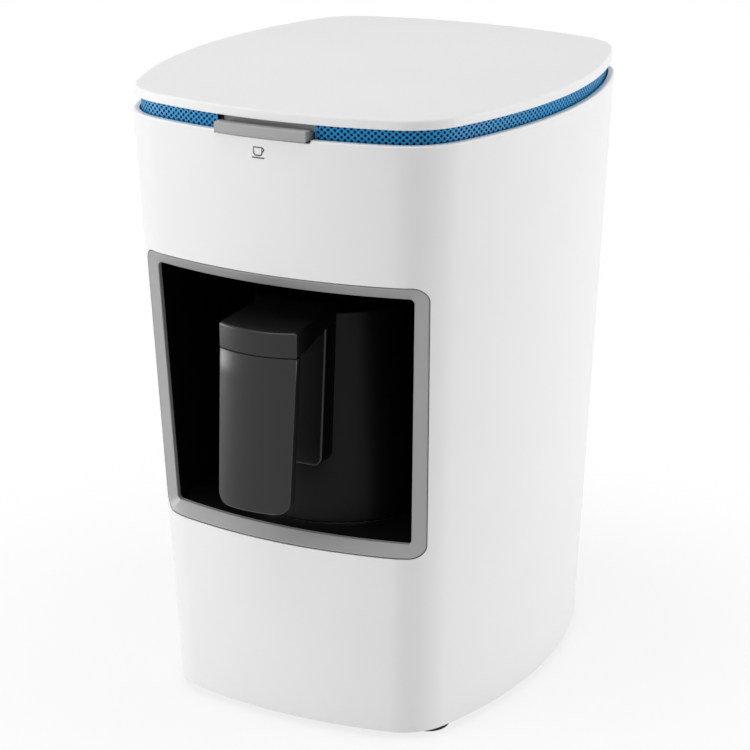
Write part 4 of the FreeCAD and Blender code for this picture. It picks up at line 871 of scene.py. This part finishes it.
CUP_X, CUP_Z = -1.4 * MM, 247.1 * MM
CUP_HALF, CUP_HIGH, CUP_ROUND, CUP_LINE = 1.85 * MM, 3.2 * MM, 1.15 * MM, 0.58 * MM
SAUCER_HALF, SAUCER_DROP, PRINT_LIFT = 2.8 * MM, 0.95 * MM, 0.04 * MM
EAR_WIDE, EAR_HALF, EAR_DROP, EAR_STEPS, BOWL_STEPS = 0.8 * MM, 0.75 * MM, 0.85 * MM, 12, 8


def print_stroke(track, width, closed=False):
    """A flat line on the housing's front along points in x and z."""
    rows = []
    count = len(track)
    for i, p in enumerate(track):
        before = track[i - 1] if i or closed else p
        after = track[(i + 1) % count] if i < count - 1 or closed else p
        ahead = (after - before).normalized()
        left = Vector((-ahead.y, ahead.x)) * width / 2
        rows.append([on_front(q.x, q.y, -PRINT_LIFT) for q in (p + left, p - left)])
    if closed:
        rows.append(rows[0])
    return skin(rows, closed=False)


def make_cup_print():
    centre = Vector((CUP_X, CUP_Z))
    top, bottom = centre + Vector((0, CUP_HIGH / 2)), centre - Vector((0, CUP_HIGH / 2))
    bowl = [Vector((CUP_X - CUP_HALF, top.y))]
    for side, start in ((-1, math.pi), (1, 1.5 * math.pi)):
        middle = Vector((CUP_X + side * (CUP_HALF - CUP_ROUND), bottom.y + CUP_ROUND))
        for quarter in quarter_turn(BOWL_STEPS):
            turn = start + quarter
            bowl.append(middle + Vector((math.cos(turn), math.sin(turn))) * CUP_ROUND)
    bowl.append(Vector((CUP_X + CUP_HALF, top.y)))
    ear = []
    for share in [0] + shares(EAR_STEPS):
        turn = math.pi * (0.5 - share)
        ear.append(Vector((CUP_X + CUP_HALF + EAR_WIDE * math.cos(turn),
                           top.y - EAR_DROP + EAR_HALF * math.sin(turn))))
    saucer = [Vector((CUP_X + side * SAUCER_HALF, bottom.y - SAUCER_DROP)) for side in (-1, 0, 1)]
    parts = [print_stroke(bowl, CUP_LINE, closed=True), print_stroke(ear, CUP_LINE),
             print_stroke(saucer, CUP_LINE)]
    cup = mesh_piece("cup_print", *joined(*parts))
    fix_normals(cup)
    finish_piece(cup, FINISHES["print_grey"], "housing", "grey_trim")


# Stage, light and camera

FLOOR_HALF, FADE_NEAR, FADE_FAR, SHADOW_SHARE = 4.0, 0.1, 0.3, 0.2


def make_stage():
    """A white floor that keeps the shadow near the object and fades to plain white round it."""
    corners = [(-FLOOR_HALF, -FLOOR_HALF, 0), (FLOOR_HALF, -FLOOR_HALF, 0),
               (FLOOR_HALF, FLOOR_HALF, 0), (-FLOOR_HALF, FLOOR_HALF, 0)]
    floor = mesh_piece("floor", corners, [(0, 1, 2, 3)])
    material = bpy.data.materials.new("floor_white")
    material.use_nodes = True
    nodes, links = material.node_tree.nodes, material.node_tree.links
    nodes.remove(nodes["Principled BSDF"])
    matt = nodes.new("ShaderNodeBsdfDiffuse")
    matt.inputs["Color"].default_value = (0.9, 0.9, 0.9, 1)
    white = nodes.new("ShaderNodeEmission")
    place = nodes.new("ShaderNodeTexCoord")
    away = nodes.new("ShaderNodeVectorMath")
    away.operation = "LENGTH"
    fade = nodes.new("ShaderNodeMapRange")
    fade.interpolation_type = "SMOOTHSTEP"
    fade.inputs["From Min"].default_value = FADE_NEAR
    fade.inputs["From Max"].default_value = FADE_FAR
    fade.inputs["To Min"].default_value = 1 - SHADOW_SHARE
    fade.inputs["To Max"].default_value = 1.0
    seen = seen_ray(nodes, links)
    share = nodes.new("ShaderNodeMath")
    share.operation = "MULTIPLY"
    blend = nodes.new("ShaderNodeMixShader")
    links.new(place.outputs["Object"], away.inputs[0])
    links.new(away.outputs["Value"], fade.inputs["Value"])
    links.new(fade.outputs["Result"], share.inputs[0])
    links.new(seen, share.inputs[1])
    links.new(share.outputs[0], blend.inputs["Fac"])
    links.new(matt.outputs[0], blend.inputs[1])
    links.new(white.outputs[0], blend.inputs[2])
    links.new(blend.outputs[0], nodes["Material Output"].inputs["Surface"])
    floor.data.materials.append(material)


def seen_ray(nodes, links):
    """1 for rays that show the background: from the camera, in a reflection or through glass."""
    path = nodes.new("ShaderNodeLightPath")
    found = path.outputs["Is Camera Ray"]
    for name in ("Is Glossy Ray", "Is Transmission Ray"):
        either = nodes.new("ShaderNodeMath")
        either.operation = "MAXIMUM"
        links.new(found, either.inputs[0])
        links.new(path.outputs[name], either.inputs[1])
        found = either.outputs[0]
    return found


AMBIENT = 0.27


def make_world():
    world = bpy.data.worlds.new("studio")
    bpy.context.scene.world = world
    world.use_nodes = True
    nodes, links = world.node_tree.nodes, world.node_tree.links
    soft = nodes["Background"]
    soft.inputs["Color"].default_value = (1, 1, 1, 1)
    soft.inputs["Strength"].default_value = AMBIENT
    white = nodes.new("ShaderNodeBackground")
    white.inputs["Color"].default_value = (1, 1, 1, 1)
    white.inputs["Strength"].default_value = 1.0
    choose = nodes.new("ShaderNodeMixShader")
    links.new(seen_ray(nodes, links), choose.inputs["Fac"])
    links.new(soft.outputs["Background"], choose.inputs[1])
    links.new(white.outputs["Background"], choose.inputs[2])
    links.new(choose.outputs["Shader"], nodes["World Output"].inputs["Surface"])


def softbox(name, azimuth, elevation, distance, width, height, power):
    """A soft lamp that looks at the object's middle from a direction."""
    lamp = bpy.data.lights.new(name, "AREA")
    lamp.shape = "RECTANGLE"
    lamp.size, lamp.size_y = width, height
    lamp.energy = power
    around, up = math.radians(azimuth), math.radians(elevation)
    away = Vector((math.sin(around) * math.cos(up), -math.cos(around) * math.cos(up), math.sin(up)))
    thing = bpy.data.objects.new(name, lamp)
    bpy.context.scene.collection.objects.link(thing)
    target = Vector((0, 0, 0.13))
    thing.location = target + away * distance
    thing.rotation_euler = away.to_track_quat("Z", "Y").to_euler()
    return thing


def make_lights():
    strip = softbox("left_strip", -68, 4, 1.2, 0.26, 0.5, 5.5)
    strip.visible_diffuse = False
    softbox("right_box", 112, 8, 1.5, 0.6, 0.7, 10.5)
    softbox("top_box", -10, 82, 1.6, 1.2, 1.2, 12)
    fill = softbox("front_fill", -44, 10, 1.6, 1.2, 1.2, 16)
    fill.visible_glossy = False


CAMERA_PLACE = (0.48363, -0.909952 + MIDDLE_Y, 0.47696)
CAMERA_AROUND, CAMERA_UP, CAMERA_ROLL = 28.159, 18.7547, -0.2614
FOCAL_PIXELS, IMAGE_PIXELS, SENSOR = 2524.0, 750.0, 36.0


def make_camera():
    around, up, roll = (math.radians(a) for a in (CAMERA_AROUND, CAMERA_UP, CAMERA_ROLL))
    back = Vector((math.sin(around) * math.cos(up), -math.cos(around) * math.cos(up), math.sin(up)))
    right = Vector((math.cos(around), math.sin(around), 0))
    above = back.cross(right)
    turned_right = right * math.cos(roll) + above * math.sin(roll)
    turned_up = above * math.cos(roll) - right * math.sin(roll)
    camera = bpy.data.cameras.new("camera")
    camera.sensor_width = SENSOR
    camera.lens = FOCAL_PIXELS / IMAGE_PIXELS * SENSOR
    thing = bpy.data.objects.new("camera", camera)
    bpy.context.scene.collection.objects.link(thing)
    matrix = Matrix((turned_right, turned_up, back)).transposed().to_4x4()
    matrix.translation = CAMERA_PLACE
    thing.matrix_world = matrix
    bpy.context.scene.camera = thing


dress_frame()
make_shell()
make_lid()
make_ring()
make_bezel()
make_button()
make_pot()
make_grip()
make_hood()
make_mount()
make_cup_print()
make_stage()
make_world()
make_lights()
make_camera()
bpy.context.scene.view_settings.view_transform = "Standard"
